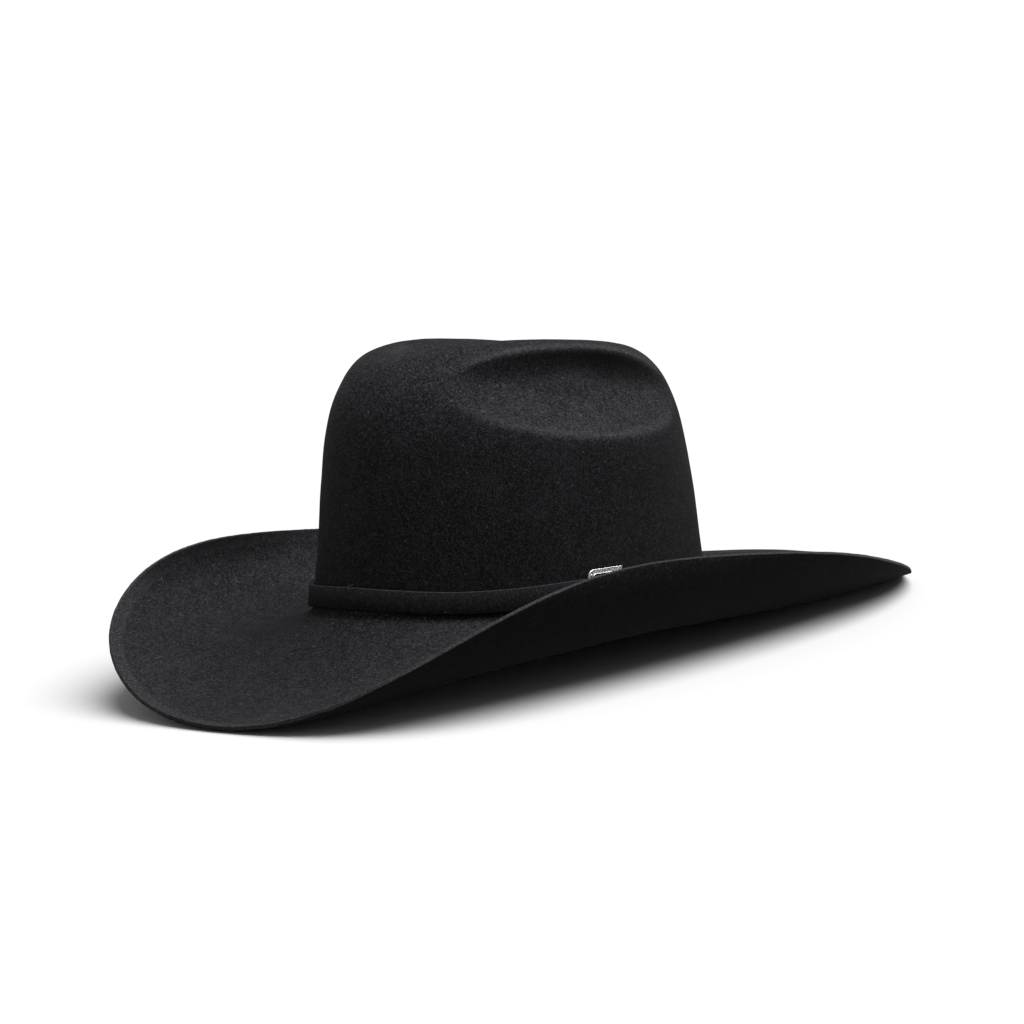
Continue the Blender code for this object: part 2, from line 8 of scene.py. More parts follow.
import bmesh
import bpy
import numpy as np
from mathutils import Matrix, Vector, noise


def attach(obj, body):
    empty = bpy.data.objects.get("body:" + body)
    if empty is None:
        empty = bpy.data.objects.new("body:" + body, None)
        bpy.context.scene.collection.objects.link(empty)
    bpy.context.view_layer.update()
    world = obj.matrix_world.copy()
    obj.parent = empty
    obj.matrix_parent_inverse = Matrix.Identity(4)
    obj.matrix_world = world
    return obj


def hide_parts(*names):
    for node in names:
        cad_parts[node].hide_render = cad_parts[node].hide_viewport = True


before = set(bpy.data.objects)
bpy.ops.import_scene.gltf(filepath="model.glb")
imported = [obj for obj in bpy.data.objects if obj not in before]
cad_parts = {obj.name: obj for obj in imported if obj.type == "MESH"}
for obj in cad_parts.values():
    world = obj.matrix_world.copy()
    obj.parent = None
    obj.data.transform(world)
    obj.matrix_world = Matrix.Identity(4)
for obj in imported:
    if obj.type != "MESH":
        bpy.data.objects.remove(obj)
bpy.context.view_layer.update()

joined, stacked = np.concatenate, np.column_stack
MM = 0.001

# Head opening, felt and brim.
HALF_LENGTH, HALF_WIDTH, FELT = 105.0, 86.5, 2.4
STATIONS = (0, 30, 60, 90, 120, 150, 180)
BREAK = (35.5, 32.0, 28.2, 24.3, 17.0, 11.5, 9.5)
BRIM_DROP = (-38, -31, -26, -25, -20, -11.5, -6.5)
BRIM_RIM = (8, 37, 85, 82, 46, 4, -1)
BRIM_WIDTH = (102, 106.5, 102, 92, 98.5, 101.5, 97)
BRIM_CURL = 1.43
EDGE_ROUND = 0.55          # rounding of the brim's cut edge

# Crown.
CROWN_TOP, CROWN_FALL, CROWN_ARCH, CROWN_LEAN = 148.3, 17.0, 6.5, 0.13
TAPER_FRONT, TAPER_BACK, TAPER_SIDE = 0.09, 0.09, 0.20
SQUARENESS, SQUARENESS_FRONT = 6.0, 0.25
VALLEY_DEPTH, VALLEY_NARROW, VALLEY_WIDE = 18.0, 9.0, 21.0
VALLEY_FRONT, VALLEY_FULL, VALLEY_BACK = -66.0, -22.0, 78.0
DENT_DEPTH, DENT_Y, DENT_BELOW, DENT_ABOVE, DENT_UNDER = 15.0, 8.0, 20.0, 19.0, 24.0
DENT_HALF_LENGTH, DENT_RAMP, DENT_LIP = 70.0, 0.85, 0.10

# Hatband and buckle set.
BAND_LOW, BAND_HIGH, BAND_GAP, BAND_THICK = 2.0, 12.5, 0.4, 2.4
BAND_SKIVED = 1.2
BAR_ANGLE, BAR_OUT, BAR_RADIUS, FREE_END = 83.5, 3.2, 0.9, 46.0
FRAME_LOW, FRAME_HIGH, FRAME_FRONT, FRAME_REAR = -0.95, 16.4, -19.0, 2.0
FRAME_ARM, FRAME_FRONT_ARM, FRAME_THICK, FRAME_CORNER = 2.55, 3.4, 1.6, 3.6
PRONG_WIDTH, PRONG_THICK, SLOT_HEIGHT = 2.0, 1.1, 3.2
KEEPER_ALONG, KEEPER_LENGTH = 24.0, 6.0
KEEPER_INSIDE, KEEPER_OUTSIDE = (1.0, 5.8), (0.5, 6.6)
KEEPER_HEIGHT, KEEPER_WALL = (1.7, 12.8), 0.8
TIP_START, TIP_END, TIP_INSIDE, TIP_WALL = 37.5, 50.6, (3.6, 6.0), 0.5
TACK_ANGLES = {"front": 0.0, "right": 262.0, "rear": 180.0}
TACK_RADIUS = 0.19

# Inside.
SWEAT_OUT, SWEAT_THICK, SWEAT_LOW, SWEAT_HIGH, SWEAT_LEAN = -2.8, 1.2, -0.4, 48.0, 3.5
SWEAT_SEAM, REED_RADIUS, REED_DOWN = 0.5, 0.9, 1.7
STITCHES, STITCH_RADIUS, STITCH_HEIGHT = 170, 0.2, 2.2
LINER_DEEP, SHIELD_DEEP, LINING_THICK, PLEATS = 3.9, 5.1, 0.3, 84
BOW_REACH, BOW_HALF_WIDTH, BOW_THICK, BOW_HEIGHT = 8.6, 3.2, 0.28, 7.0
GAP = 0.3

BAND_MIDDLE = 0.5 * (BAND_LOW + BAND_HIGH)
FRAME_MIDDLE = 0.5 * (FRAME_LOW + FRAME_HIGH)
AROUND = 432               # points round the felt
SHARP = 45                 # degrees at which an edge of the metal is drawn sharp
rng = np.random.default_rng(7)


# The hat's shape.

def smoothstep(low, high, x):
    t = np.clip((np.asarray(x, float) - low) / (high - low), 0.0, 1.0)
    return t * t * (3.0 - 2.0 * t)


def xyz(x, y, z):
    return np.stack(np.broadcast_arrays(x, y, z), axis=-1)


def turns(count):
    return 2.0 * pi * np.arange(count) / count


def size_of(vectors):
    return np.linalg.norm(vectors, axis=-1)


def unit(vectors):
    return vectors / size_of(vectors)[..., None]


def station_curve(values, angle):
    """The smooth, mirror-alike curve through one value for each station."""
    at = np.radians(STATIONS)
    order = np.arange(len(STATIONS))
    terms = np.linalg.solve(np.cos(np.outer(at, order)), np.array(values, float))
    return np.cos(np.multiply.outer(angle, order)) @ terms


def break_height(angle):
    return station_curve(BREAK, angle)


def top_height(y):
    """Height of the uncreased crown's top, which arches and falls towards the back."""
    share = y / HALF_LENGTH
    return CROWN_TOP - CROWN_FALL * share - CROWN_ARCH * share ** 2


def outward(angle):
    """Level unit normal of the head oval."""
    x = np.sin(angle) / HALF_WIDTH
    y = -np.cos(angle) / HALF_LENGTH
    size = np.hypot(x, y)
    return x / size, y / size


def brim_rows(angle, parts):
    """Points on the brim's upper face, one row for each part of the way out."""
    steps = np.linspace(0.0, 1.0, 161)
    drop = station_curve(BRIM_DROP, angle)[:, None]
    rim = station_curve(BRIM_RIM, angle)[:, None]
    slope = np.radians(drop + (rim - drop) * steps ** BRIM_CURL)
    middle = 0.5 * (slope[:, 1:] + slope[:, :-1])
    step = station_curve(BRIM_WIDTH, angle)[:, None] / (len(steps) - 1)
    zero = np.zeros((len(angle), 1))
    run = joined([zero, np.cumsum(np.cos(middle) * step, axis=1)], axis=1)
    rise = joined([zero, np.cumsum(np.sin(middle) * step, axis=1)], axis=1)
    nx, ny = outward(angle)
    rows = []
    for part in parts:
        at = part * (len(steps) - 1)
        low = min(int(at), len(steps) - 2)
        share = at - low
        out, up = (m[:, low] * (1 - share) + m[:, low + 1] * share for m in (run, rise))
        x = HALF_WIDTH * np.sin(angle) + nx * out
        y = -HALF_LENGTH * np.cos(angle) + ny * out
        rows.append(xyz(x, y, break_height(angle) + up))
    return rows


def taper(angle):
    end = np.where(np.cos(angle) > 0, TAPER_FRONT, TAPER_BACK)
    return end * np.cos(angle) ** 2 + TAPER_SIDE * np.sin(angle) ** 2


def crown_point(angle, climb):
    """The uncreased crown: climb is 0 degrees at the break and 90 at the top."""
    c, s = np.cos(np.radians(climb)), np.sin(np.radians(climb))
    power = SQUARENESS + SQUARENESS_FRONT * np.cos(angle)
    size = (c ** power + s ** power) ** (1.0 / power)
    reach, height = c / size, s / size
    reach = reach * (1.0 - taper(angle) * height)
    x = HALF_WIDTH * np.sin(angle) * reach
    y = -HALF_LENGTH * np.cos(angle) * reach
    low = break_height(angle)
    z = low + (top_height(y) - low) * height
    return xyz(x, y + CROWN_LEAN * (z - low), z)


def wall_point(angle, height, out=0.0):
    """Beside the crown's wall: a height above the break, and out square to the wall."""
    top = top_height(-HALF_LENGTH * np.cos(angle)) - break_height(angle)
    shrink = taper(angle) / top
    reach = 1.0 - shrink * np.maximum(height, 0.0)
    nx, ny = outward(angle)
    x = HALF_WIDTH * np.sin(angle) * reach
    y = -HALF_LENGTH * np.cos(angle) * reach + CROWN_LEAN * height
    inward = nx * HALF_WIDTH * np.sin(angle) * shrink
    inward = inward - ny * (HALF_LENGTH * np.cos(angle) * shrink + CROWN_LEAN)
    square = xyz(nx, ny, inward) / np.hypot(1.0, inward)[..., None]
    return xyz(x, y, break_height(angle) + height) + np.asarray(out)[..., None] * square


def creased(points):
    """The centre valley and the two side dents."""
    x, y, z = np.moveaxis(points, -1, 0)
    below = top_height(y) - z
    half_height = np.where(below > DENT_BELOW, DENT_UNDER, DENT_ABOVE)
    rim = np.hypot((y - DENT_Y) / DENT_HALF_LENGTH, (below - DENT_BELOW) / half_height)
    way_in = (1.0 - rim) / DENT_RAMP
    way_in = np.minimum(0.5 * (way_in + np.hypot(way_in, DENT_LIP)), 1.0)
    dent = DENT_DEPTH * way_in * (2.0 - way_in) * smoothstep(10.0, 45.0, np.abs(x))
    half = VALLEY_NARROW + (VALLEY_WIDE - VALLEY_NARROW) * smoothstep(-60.0, 30.0, y)
    along = smoothstep(VALLEY_FRONT, VALLEY_FULL, y) * (1 - smoothstep(38.0, VALLEY_BACK, y))
    deep = 1.0 - smoothstep(20.0, 70.0, below)
    valley = VALLEY_DEPTH * np.exp(-(x / half) ** 2) * along * deep
    return xyz(x - np.copysign(dent, x), y, z - valley)


def normals_of(rows):
    """Unit normals of a grid of rows that each go once round, outwards for the crown and brim."""
    grid = np.array(rows)
    side = np.roll(grid, -1, axis=1) - np.roll(grid, 1, axis=1)
    down = np.gradient(grid, axis=0)
    return unit(np.cross(down, side))


# Mesh making.

def set_in(matrix, points):
    """Points given in a piece's own axes, in the hat's."""
    return np.array([matrix @ Vector(p * MM) for p in np.asarray(points)]) / MM


def new_object(name, data):
    obj = bpy.data.objects.new(name, data)
    bpy.context.scene.collection.objects.link(obj)
    return obj


def mesh_object(name, points, faces):
    """An object of points in millimetres and faces."""
    mesh = bpy.data.meshes.new(name)
    mesh.from_pydata((np.asarray(points, float) * MM).tolist(), [], faces)
    mesh.update()
    return new_object(name, mesh)


def add_piece(name, points, faces, mat, slot, replaces=(), body="hat", sharp=None):
    """A shaded mesh from points in millimetres, riding on a body."""
    obj = mesh_object(name, points, faces)
    mesh = obj.data
    mesh.materials.append(mat)
    mesh.shade_smooth()
    if sharp is not None:
        mesh.set_sharp_from_angle(angle=radians(sharp))
    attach(obj, body)
    if replaces:
        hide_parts(*replaces)
    return outwards(obj)


def outwards(obj):
    """Turns a closed mesh's faces to point out."""
    bm = bmesh.new()
    bm.from_mesh(obj.data)
    bmesh.ops.recalc_face_normals(bm, faces=bm.faces)
    bm.to_mesh(obj.data)
    bm.free()
    return obj


def grid_faces(rows, columns, wrap_rows=False):
    """Quads of a grid of vertices, whose rows each go once round."""
    faces = []
    for r in range(rows if wrap_rows else rows - 1):
        a, b = r * columns, ((r + 1) % rows) * columns
        for c in range(columns):
            d = (c + 1) % columns
            faces.append((a + c, a + d, b + d, b + c))
    return faces


def fans(points, faces, start, count, pole):
    """Closes a ring of vertices with triangles to one more point."""
    centre = len(points)
    points = np.vstack([points, pole])
    faces += [(start + i, start + (i + 1) % count, centre) for i in range(count)]
    return points, faces


def capped(grid, first=None, last=None):
    """Points and faces of a grid of closed rows, with a pole at each end of it."""
    count, around = grid.shape[:2]
    first = grid[0].mean(axis=0) if first is None else first
    last = grid[-1].mean(axis=0) if last is None else last
    faces = grid_faces(count, around)
    points, faces = fans(grid.reshape(-1, 3), faces, 0, around, first)
    return fans(points, faces, (count - 1) * around, around, last)


def sweep(sections, closed=False):
    """Points and faces of a tube through equal closed cross-sections."""
    sections = np.array(sections)
    if not closed:
        return capped(sections)
    count, around = sections.shape[:2]
    return sections.reshape(-1, 3), grid_faces(count, around, wrap_rows=True)


def attribute(obj, name, values):
    """A number or a place for each vertex, which the materials read."""
    values = np.asarray(values, np.float32)
    kind, field = ("FLOAT", "value") if values.ndim == 1 else ("FLOAT_VECTOR", "vector")
    made = obj.data.attributes.new(name, kind, "POINT")
    made.data.foreach_set(field, values.ravel())


def boolean(obj, points, faces, operation, frame_matrix=None):
    """Cuts or joins one more solid, and keeps the result as the object's mesh."""
    tool = mesh_object("tool", points, faces)
    if frame_matrix is not None:
        tool.matrix_world = frame_matrix
    outwards(tool)
    mod = obj.modifiers.new("Boolean", "BOOLEAN")
    mod.object, mod.operation, mod.solver = tool, operation, "EXACT"
    bpy.context.view_layer.update()
    graph = bpy.context.evaluated_depsgraph_get()
    made = bpy.data.meshes.new_from_object(obj.evaluated_get(graph))
    obj.modifiers.clear()
    obj.data = made
    bpy.data.objects.remove(tool, do_unlink=True)


BOX_FACES = [(0, 1, 3, 2), (4, 6, 7, 5), (0, 4, 5, 1), (2, 3, 7, 6), (0, 2, 6, 4), (1, 5, 7, 3)]


def box_points(low, high):
    xs, ys, zs = zip(low, high)
    return np.array([(x, y, z) for x in xs for y in ys for z in zs])


def reshade(obj, degrees=SHARP):
    """Smooth shading again after a Boolean, with the sharp edges kept."""
    obj.data.shade_smooth()
    obj.data.set_sharp_from_angle(angle=radians(degrees))


def append_part(points, faces, part, part_faces):
    """Adds one more closed part to a mesh's points and faces."""
    faces += [tuple(v + len(points) for v in face) for face in part_faces]
    return np.vstack([points, part]), faces


def in_between(path, count):
    """Points evenly through a list of them, straight from one to the next."""
    path = np.asarray(path, float)
    order = np.arange(len(path))
    fine = np.linspace(0, len(path) - 1, count)
    return stacked([np.interp(fine, order, column) for column in path.T])


def ring_of(outline, height):
    """A level ring of points over an outline."""
    return stacked([outline, np.full(len(outline), height)])


def lengths_round(outline):
    """Length along a closed outline up to each of its points."""
    step = size_of(np.roll(outline, -1, axis=0) - outline)
    return np.cumsum(step) - step


# Materials. Every one is procedural, in the object's own coordinates.

class Look:
    """A material in the making: each method adds a node and gives back what comes out of it."""

    def __init__(self, name, **constants):
        self.mat = bpy.data.materials.new(name)
        self.mat.use_nodes = True
        self.tree = self.mat.node_tree
        self.shader = self.tree.nodes["Principled BSDF"]
        for key, value in constants.items():
            self.put(value, self.shader.inputs[key.replace("_", " ")])

    def put(self, value, socket):
        """Links a node's output to the socket, or sets a constant there."""
        if isinstance(value, bpy.types.NodeSocket):
            self.tree.links.new(value, socket)
        else:
            socket.default_value = value

    def node(self, kind, inputs=None, **settings):
        made = self.tree.nodes.new("ShaderNode" + kind)
        for key, value in settings.items():
            setattr(made, key, value)
        for key, value in (inputs or {}).items():
            self.put(value, made.inputs[key])
        return made

    def place(self):
        return self.node("TexCoord").outputs["Object"]

    def number(self, name):
        """The number a mesh carries at each vertex under this name."""
        return self.node("Attribute", attribute_name=name).outputs["Fac"]

    def stretched(self, where, scale):
        return self.node("Mapping", {"Vector": where, "Scale": scale}).outputs["Vector"]

    def noise(self, where, scale, detail=3.0, rough=0.55):
        inputs = {"Vector": where, "Scale": scale, "Detail": detail, "Roughness": rough}
        return self.node("TexNoise", inputs).outputs["Fac"]

    def spread(self, value, low, high, to_low=0.0, to_high=1.0):
        inputs = {"Value": value, "From Min": low, "From Max": high}
        inputs.update({"To Min": to_low, "To Max": to_high})
        return self.node("MapRange", inputs, interpolation_type="SMOOTHSTEP").outputs["Result"]

    def maths(self, operation, a, b):
        return self.node("Math", {0: a, 1: b}, operation=operation).outputs[0]

    def times(self, a, b):
        return self.maths("MULTIPLY", a, b)

    def blend(self, share, a, b):
        """Colour a, and this share of colour b over it."""
        a, b = ((*c, 1.0) if isinstance(c, tuple) else c for c in (a, b))
        return self.node("Mix", {0: share, 6: a, 7: b}, data_type="RGBA").outputs[2]

    def bump(self, height, distance, strength=1.0, below=None):
        inputs = {"Height": height, "Distance": distance, "Strength": strength}
        if below is not None:
            inputs["Normal"] = below
        return self.node("Bump", inputs).outputs["Normal"]

    def finish(self, colour, rough, normal=None):
        self.put(colour, self.shader.inputs["Base Color"])
        self.put(rough, self.shader.inputs["Roughness"])
        if normal is not None:
            self.put(normal, self.shader.inputs["Normal"])
        return self.mat


def curled_place(look, where):
    """The place, shifted a little by a noise, so that straight fibres curl."""
    curl = look.node("TexNoise", {"Vector": where, "Scale": 260.0, "Detail": 2.0}).outputs["Color"]
    offset = look.node("VectorMath", {0: curl, 1: (0.003,) * 3}, operation="MULTIPLY").outputs[0]
    return look.node("VectorMath", {0: where, 1: offset}, operation="ADD").outputs[0]


def fibre_web(look, where):
    """Fine fibres laid in three directions, the uppermost of them at each place."""
    web = None
    for stretch in ((0.25, 1.0, 1.0), (1.0, 0.25, 1.0), (1.0, 1.0, 0.3)):
        laid = look.stretched(where, stretch)
        fibres = look.noise(laid, 1500.0, 2.0, 0.65)
        web = fibres if web is None else look.maths("MAXIMUM", web, fibres)
    return web


def lint_specks(look, where):
    """Small specks in a few of many cells."""
    cells = look.node("TexVoronoi", {"Vector": where, "Scale": 420.0}, feature="F1")
    near = look.spread(cells.outputs["Distance"], 0.10, 0.26, 1.0, 0.0)
    pick = look.node("SeparateColor", {"Color": cells.outputs["Color"]}).outputs[0]
    return look.times(look.times(near, look.spread(pick, 0.90, 0.98)), 0.8)


def felt_material(name, dark, light, sheen):
    """Fur felt: matted fibres of two darknesses, lint, a soft sheen, handled edges, and painted
    light and shade by which way it faces.
    """
    tint = (0.86, 0.88, 0.95, 1.0)
    look = Look(
        name, Sheen_Weight=sheen, Sheen_Roughness=0.5, Sheen_Tint=tint, Specular_IOR_Level=0.05
    )
    where = look.place()
    curled = curled_place(look, where)
    cloud = look.noise(where, 30.0, 4.0)
    patch = look.noise(where, 110.0, 3.0)
    matted = look.noise(where, 300.0, 5.0, 0.72)
    web = fibre_web(look, curled)
    colour = look.blend(look.spread(matted, 0.36, 0.64), dark, light)
    for value, low, high, deep in ((cloud, 0.38, 0.62, 0.7), (patch, 0.40, 0.64, 0.6)):
        share = look.spread(value, low, high, 0.0, 0.5)
        colour = look.blend(share, colour, tuple(deep * c for c in dark))
    strands = look.times(look.spread(web, 0.52, 0.72), 0.8)
    colour = look.blend(strands, colour, tuple(3.0 * c + 0.008 for c in light))
    colour = look.blend(lint_specks(look, curled), colour, (0.095, 0.095, 0.10))
    worn = look.number("wear")
    worn = look.times(worn, look.spread(web, 0.45, 0.75, 0.25, 0.7))
    colour = look.blend(worn, colour, tuple(4.0 * c + 0.012 for c in light))
    # Painted light and shade: the colour is darkened towards black where the felt faces down or
    # sideways, and shows fullest on slopes facing up.
    painted_facing_shade = look.number("painted_facing_shade")
    colour = look.blend(painted_facing_shade, (0.0, 0.0, 0.0), colour)
    rough = look.spread(matted, 0.3, 0.7, 0.86, 1.0)
    coarse = look.bump(matted, 0.0005, 0.8)
    return look.finish(colour, rough, look.bump(web, 0.00030, 0.9, coarse))


def silver_material():
    """Polished silver, dark in the cut lines, with fine scratches."""
    look = Look("silver", Metallic=1.0)
    where = look.place()
    scratches = look.stretched(where, (1.0, 0.08, 1.0))
    fine = look.noise(scratches, 6000.0, 2.0)
    haze = look.noise(where, 500.0, 3.0)
    patina = look.number("patina")
    patina = look.times(patina, look.spread(haze, 0.2, 0.6, 0.75, 1.0))
    hazed = look.spread(haze, 0.4, 0.7, 0.0, 0.3)
    bright = look.blend(hazed, (0.87, 0.86, 0.84), (0.70, 0.68, 0.64))
    colour = look.blend(patina, bright, (0.035, 0.033, 0.03))
    rough = look.spread(fine, 0.3, 0.7, 0.16, 0.30)
    rough = look.maths("ADD", rough, look.times(patina, 0.35))
    return look.finish(colour, rough, look.bump(fine, 0.00001, 0.25))


def leather_material():
    """Black roan leather: fine grain, folds and uneven tone."""
    look = Look("leather", Specular_IOR_Level=0.45)
    where = look.place()
    pattern = {"Vector": where, "Scale": 1100.0}
    cells = look.node("TexVoronoi", pattern, feature="DISTANCE_TO_EDGE")
    grain = look.spread(cells.outputs["Distance"], 0.0, 0.16)
    folds = look.noise(where, 160.0, 5.0, 0.6)
    tone = look.noise(where, 22.0, 3.0)
    tone = look.spread(tone, 0.35, 0.65)
    colour = look.blend(tone, (0.018, 0.014, 0.012), (0.034, 0.026, 0.021))
    pores = look.spread(grain, 0.0, 0.5, 0.5, 0.0)
    colour = look.blend(pores, colour, (0.008, 0.006, 0.005))
    rough = look.spread(folds, 0.3, 0.7, 0.42, 0.62)
    low = look.bump(folds, 0.0004, 0.5)
    return look.finish(colour, rough, look.bump(grain, 0.00012, 0.8, low))


def woven_material(name, dark, light, threads, rough, sheen):
    """A cloth with warp and weft, drawn on the flat cloth's own measure."""
    look = Look(name, Sheen_Weight=sheen, Sheen_Roughness=0.3, Specular_IOR_Level=0.5)
    flat = look.node("Attribute", attribute_name="flat").outputs["Vector"]
    warp = look.node("TexWave", {"Vector": flat, "Scale": threads}, bands_direction="X")
    weft = look.node("TexWave", {"Vector": flat, "Scale": threads * 0.8}, bands_direction="Y")
    weave = look.times(warp.outputs["Fac"], weft.outputs["Fac"])
    long = look.stretched(flat, (1.0, 0.06, 1.0))
    slub = look.noise(long, 900.0)
    weave_part = look.times(weave, 0.6)
    share = look.maths("ADD", weave_part, look.times(slub, 0.4))
    colour = look.blend(share, dark, light)
    rough = look.spread(slub, 0.3, 0.7, rough - 0.06, rough + 0.08)
    return look.finish(colour, rough, look.bump(weave, 0.00006, 0.6))


def thread_material(name, colour):
    """A twisted thread."""
    look = Look(name, Sheen_Weight=0.2, Specular_IOR_Level=0.4)
    where = look.place()
    pattern = {"Vector": where, "Scale": 1500.0, "Distortion": 1.5}
    twist = look.node("TexWave", pattern, bands_direction="DIAGONAL").outputs["Fac"]
    dark = tuple(0.45 * c for c in colour)
    colour = look.blend(twist, dark, colour)
    rough = look.spread(twist, 0.0, 1.0, 0.75, 0.5)
    return look.finish(colour, rough, look.bump(twist, 0.00008, 0.6))


def film_material():
    """The clear film over the lining's top."""
    look = Look("clear_film", Alpha=0.22, Specular_IOR_Level=0.6)
    creases = look.noise(look.place(), 70.0, 4.0)
    colour = look.blend(creases, (0.75, 0.76, 0.78), (0.9, 0.91, 0.92))
    rough = look.spread(creases, 0.3, 0.7, 0.08, 0.22)
    return look.finish(colour, rough, look.bump(creases, 0.0008, 0.4))


def floor_material():
    look = Look("floor", Specular_IOR_Level=0.2)
    tone = look.noise(look.place(), 3.0, 3.0)
    colour = look.blend(tone, (0.60, 0.60, 0.60), (0.62, 0.62, 0.62))
    return look.finish(colour, look.spread(tone, 0.3, 0.7, 0.8, 0.9))


# Felt.

def unevenness(points):
    """Hand-shaped waviness, at most about half a millimetre."""
    found = np.empty(len(points))
    for i, p in enumerate(points):
        spot = Vector(p)
        wide, small = noise.noise(spot / 46.0), noise.noise(spot / 15.0 + Vector((9, 3, 1)))
        found[i] = 0.55 * wide + 0.16 * small
    return found


def felt_rows(angle):
    """Rows of the felt's outer face, from the top to the brim's edge, and each one's share of
    the unevenness."""
    climbs = [np.linspace(89.0, 50.0, 40), np.linspace(49.2, 16.0, 46), np.linspace(15.0, 4.5, 9)]
    climbs = joined(climbs)
    rows = [creased(crown_point(angle, climb)) for climb in climbs]
    rows += [wall_point(angle, height) for height in (7.0, 5.6, 4.3, 3.2, 2.3)]
    start, corner = wall_point(angle, 2.3), wall_point(angle, 0.0)
    end = brim_rows(angle, [0.03])[0]
    for t in (0.17, 0.34, 0.5, 0.66, 0.83):
        rows.append((1 - t) ** 2 * start + 2 * t * (1 - t) * corner + t ** 2 * end)
    parts = [np.linspace(0.03, 0.16, 9), np.linspace(0.175, 0.94, 44)]
    parts = joined([*parts, np.linspace(0.95, 0.9945, 5)])
    smooth = np.zeros(len(rows) - len(climbs))
    rows += brim_rows(angle, parts)
    uneven = [smoothstep(4.0, 16.0, climbs), smooth, smoothstep(0.05, 0.3, parts)]
    return np.array(rows), joined(uneven)


def bent(grid):
    """How sharply the surface bends outwards at each point, from its neighbours."""
    square = normals_of(grid)
    total = np.zeros(grid.shape[:2])
    for axis in (0, 1):
        ahead, behind = np.roll(grid, -1, axis=axis), np.roll(grid, 1, axis=axis)
        gaps = [size_of(beside - grid) for beside in (ahead, behind)]
        gap = np.maximum(0.5 * (gaps[0] + gaps[1]), 0.4)
        total += -np.sum((ahead + behind - 2 * grid) * square, axis=-1) / gap ** 2
    total[0] = total[-1] = 0.0
    return total


# Painted light and shade: how much of the felt's colour shows for each upward part of its normal.
FACING = (-1.0, -0.3, 0.0, 0.25, 0.5, 0.8, 1.0)     # upward part of the felt's normal
FACING_SHADE_LEVELS = (0.07, 0.10, 0.30, 0.52, 1.0, 1.0, 0.9)       # how much of the felt's colour shows


def paint_facing_shade(obj):
    """Painted light and shade on the felt: its colour shows most where it faces up and least
    underneath.
    """
    up = np.array([v.normal.z for v in obj.data.vertices])
    attribute(obj, "painted_facing_shade", np.interp(up, FACING, FACING_SHADE_LEVELS))


def cut_edge(top, square):
    """Rows round the brim's cut edge, from its upper face to its lower one, a little rough."""
    out = unit(top[-1] - top[-2])
    r = EDGE_ROUND
    path = [(r * sin(a), r - r * cos(a)) for a in np.radians((25, 50, 75, 90))]
    path += [(r, 0.5 * FELT)]
    path += [(r * sin(a), FELT - r + r * cos(a)) for a in np.radians((90, 75, 50, 25))]
    edge = []
    for ahead, under in path:
        rough = rng.normal(0.0, 0.05, (AROUND, 1))
        edge.append(top[-1] + out * (ahead + rough) - square[-1] * under)
    return edge


def felt_body(mat):
    top, uneven = felt_rows(turns(AROUND))
    shake = unevenness(top.reshape(-1, 3)).reshape(top.shape[:2])
    top = top + normals_of(top) * (shake * uneven[:, None])[..., None]
    square = normals_of(top)
    edge = cut_edge(top, square)
    under = (top - FELT * square)[::-2]
    grid = joined([top, edge, under])
    grid[..., 2] = np.maximum(grid[..., 2], 0.0)
    points, faces = capped(grid)
    obj = add_piece("felt_shell", points, faces, mat, "black_felt", ["felt_body"])
    wear = 0.5 * smoothstep(0.040, 0.12, bent(top))
    wear[-6:] = np.maximum(wear[-6:], 0.35)
    shares = [wear.ravel(), np.full(len(edge) * AROUND, 0.75), np.zeros(len(under) * AROUND + 2)]
    attribute(obj, "wear", joined(shares))
    # Painted light and shade by which way the felt faces.
    paint_facing_shade(obj)


# Hatband.

FINE = np.radians(np.linspace(-60.0, 540.0, 6001))


def strap_line():
    """Length of the strap's line up to each angle of FINE."""
    offset = BAND_GAP + 0.5 * BAND_THICK
    step = np.hypot((HALF_WIDTH + offset) * np.cos(FINE), (HALF_LENGTH + offset) * np.sin(FINE))
    length = joined([[0.0], np.cumsum(0.5 * (step[1:] + step[:-1]) * np.diff(FINE))])
    return length - np.interp(radians(BAR_ANGLE), FINE, length)


LINE = strap_line()
TURN = float(np.interp(radians(BAR_ANGLE + 360.0), FINE, LINE))


def along_to_angle(along):
    return np.interp(along, LINE, FINE)


def wall_frame(angle, height, out):
    """Axes beside the crown: X round the crown towards the back, Y up the wall, Z out."""
    def at(turn, up):
        return Vector(wall_point(angle + turn, up, out))
    here, up = at(0.0, height), at(0.0, 16.0) - at(0.0, 0.0)
    along = (at(0.02, height) - at(-0.02, height)).normalized()
    face = along.cross(up).normalized()
    up = face.cross(along)
    return Matrix.Translation(here * MM) @ Matrix((along, up, face)).transposed().to_4x4()


SITE = wall_frame(radians(BAR_ANGLE), FRAME_MIDDLE, BAR_OUT)


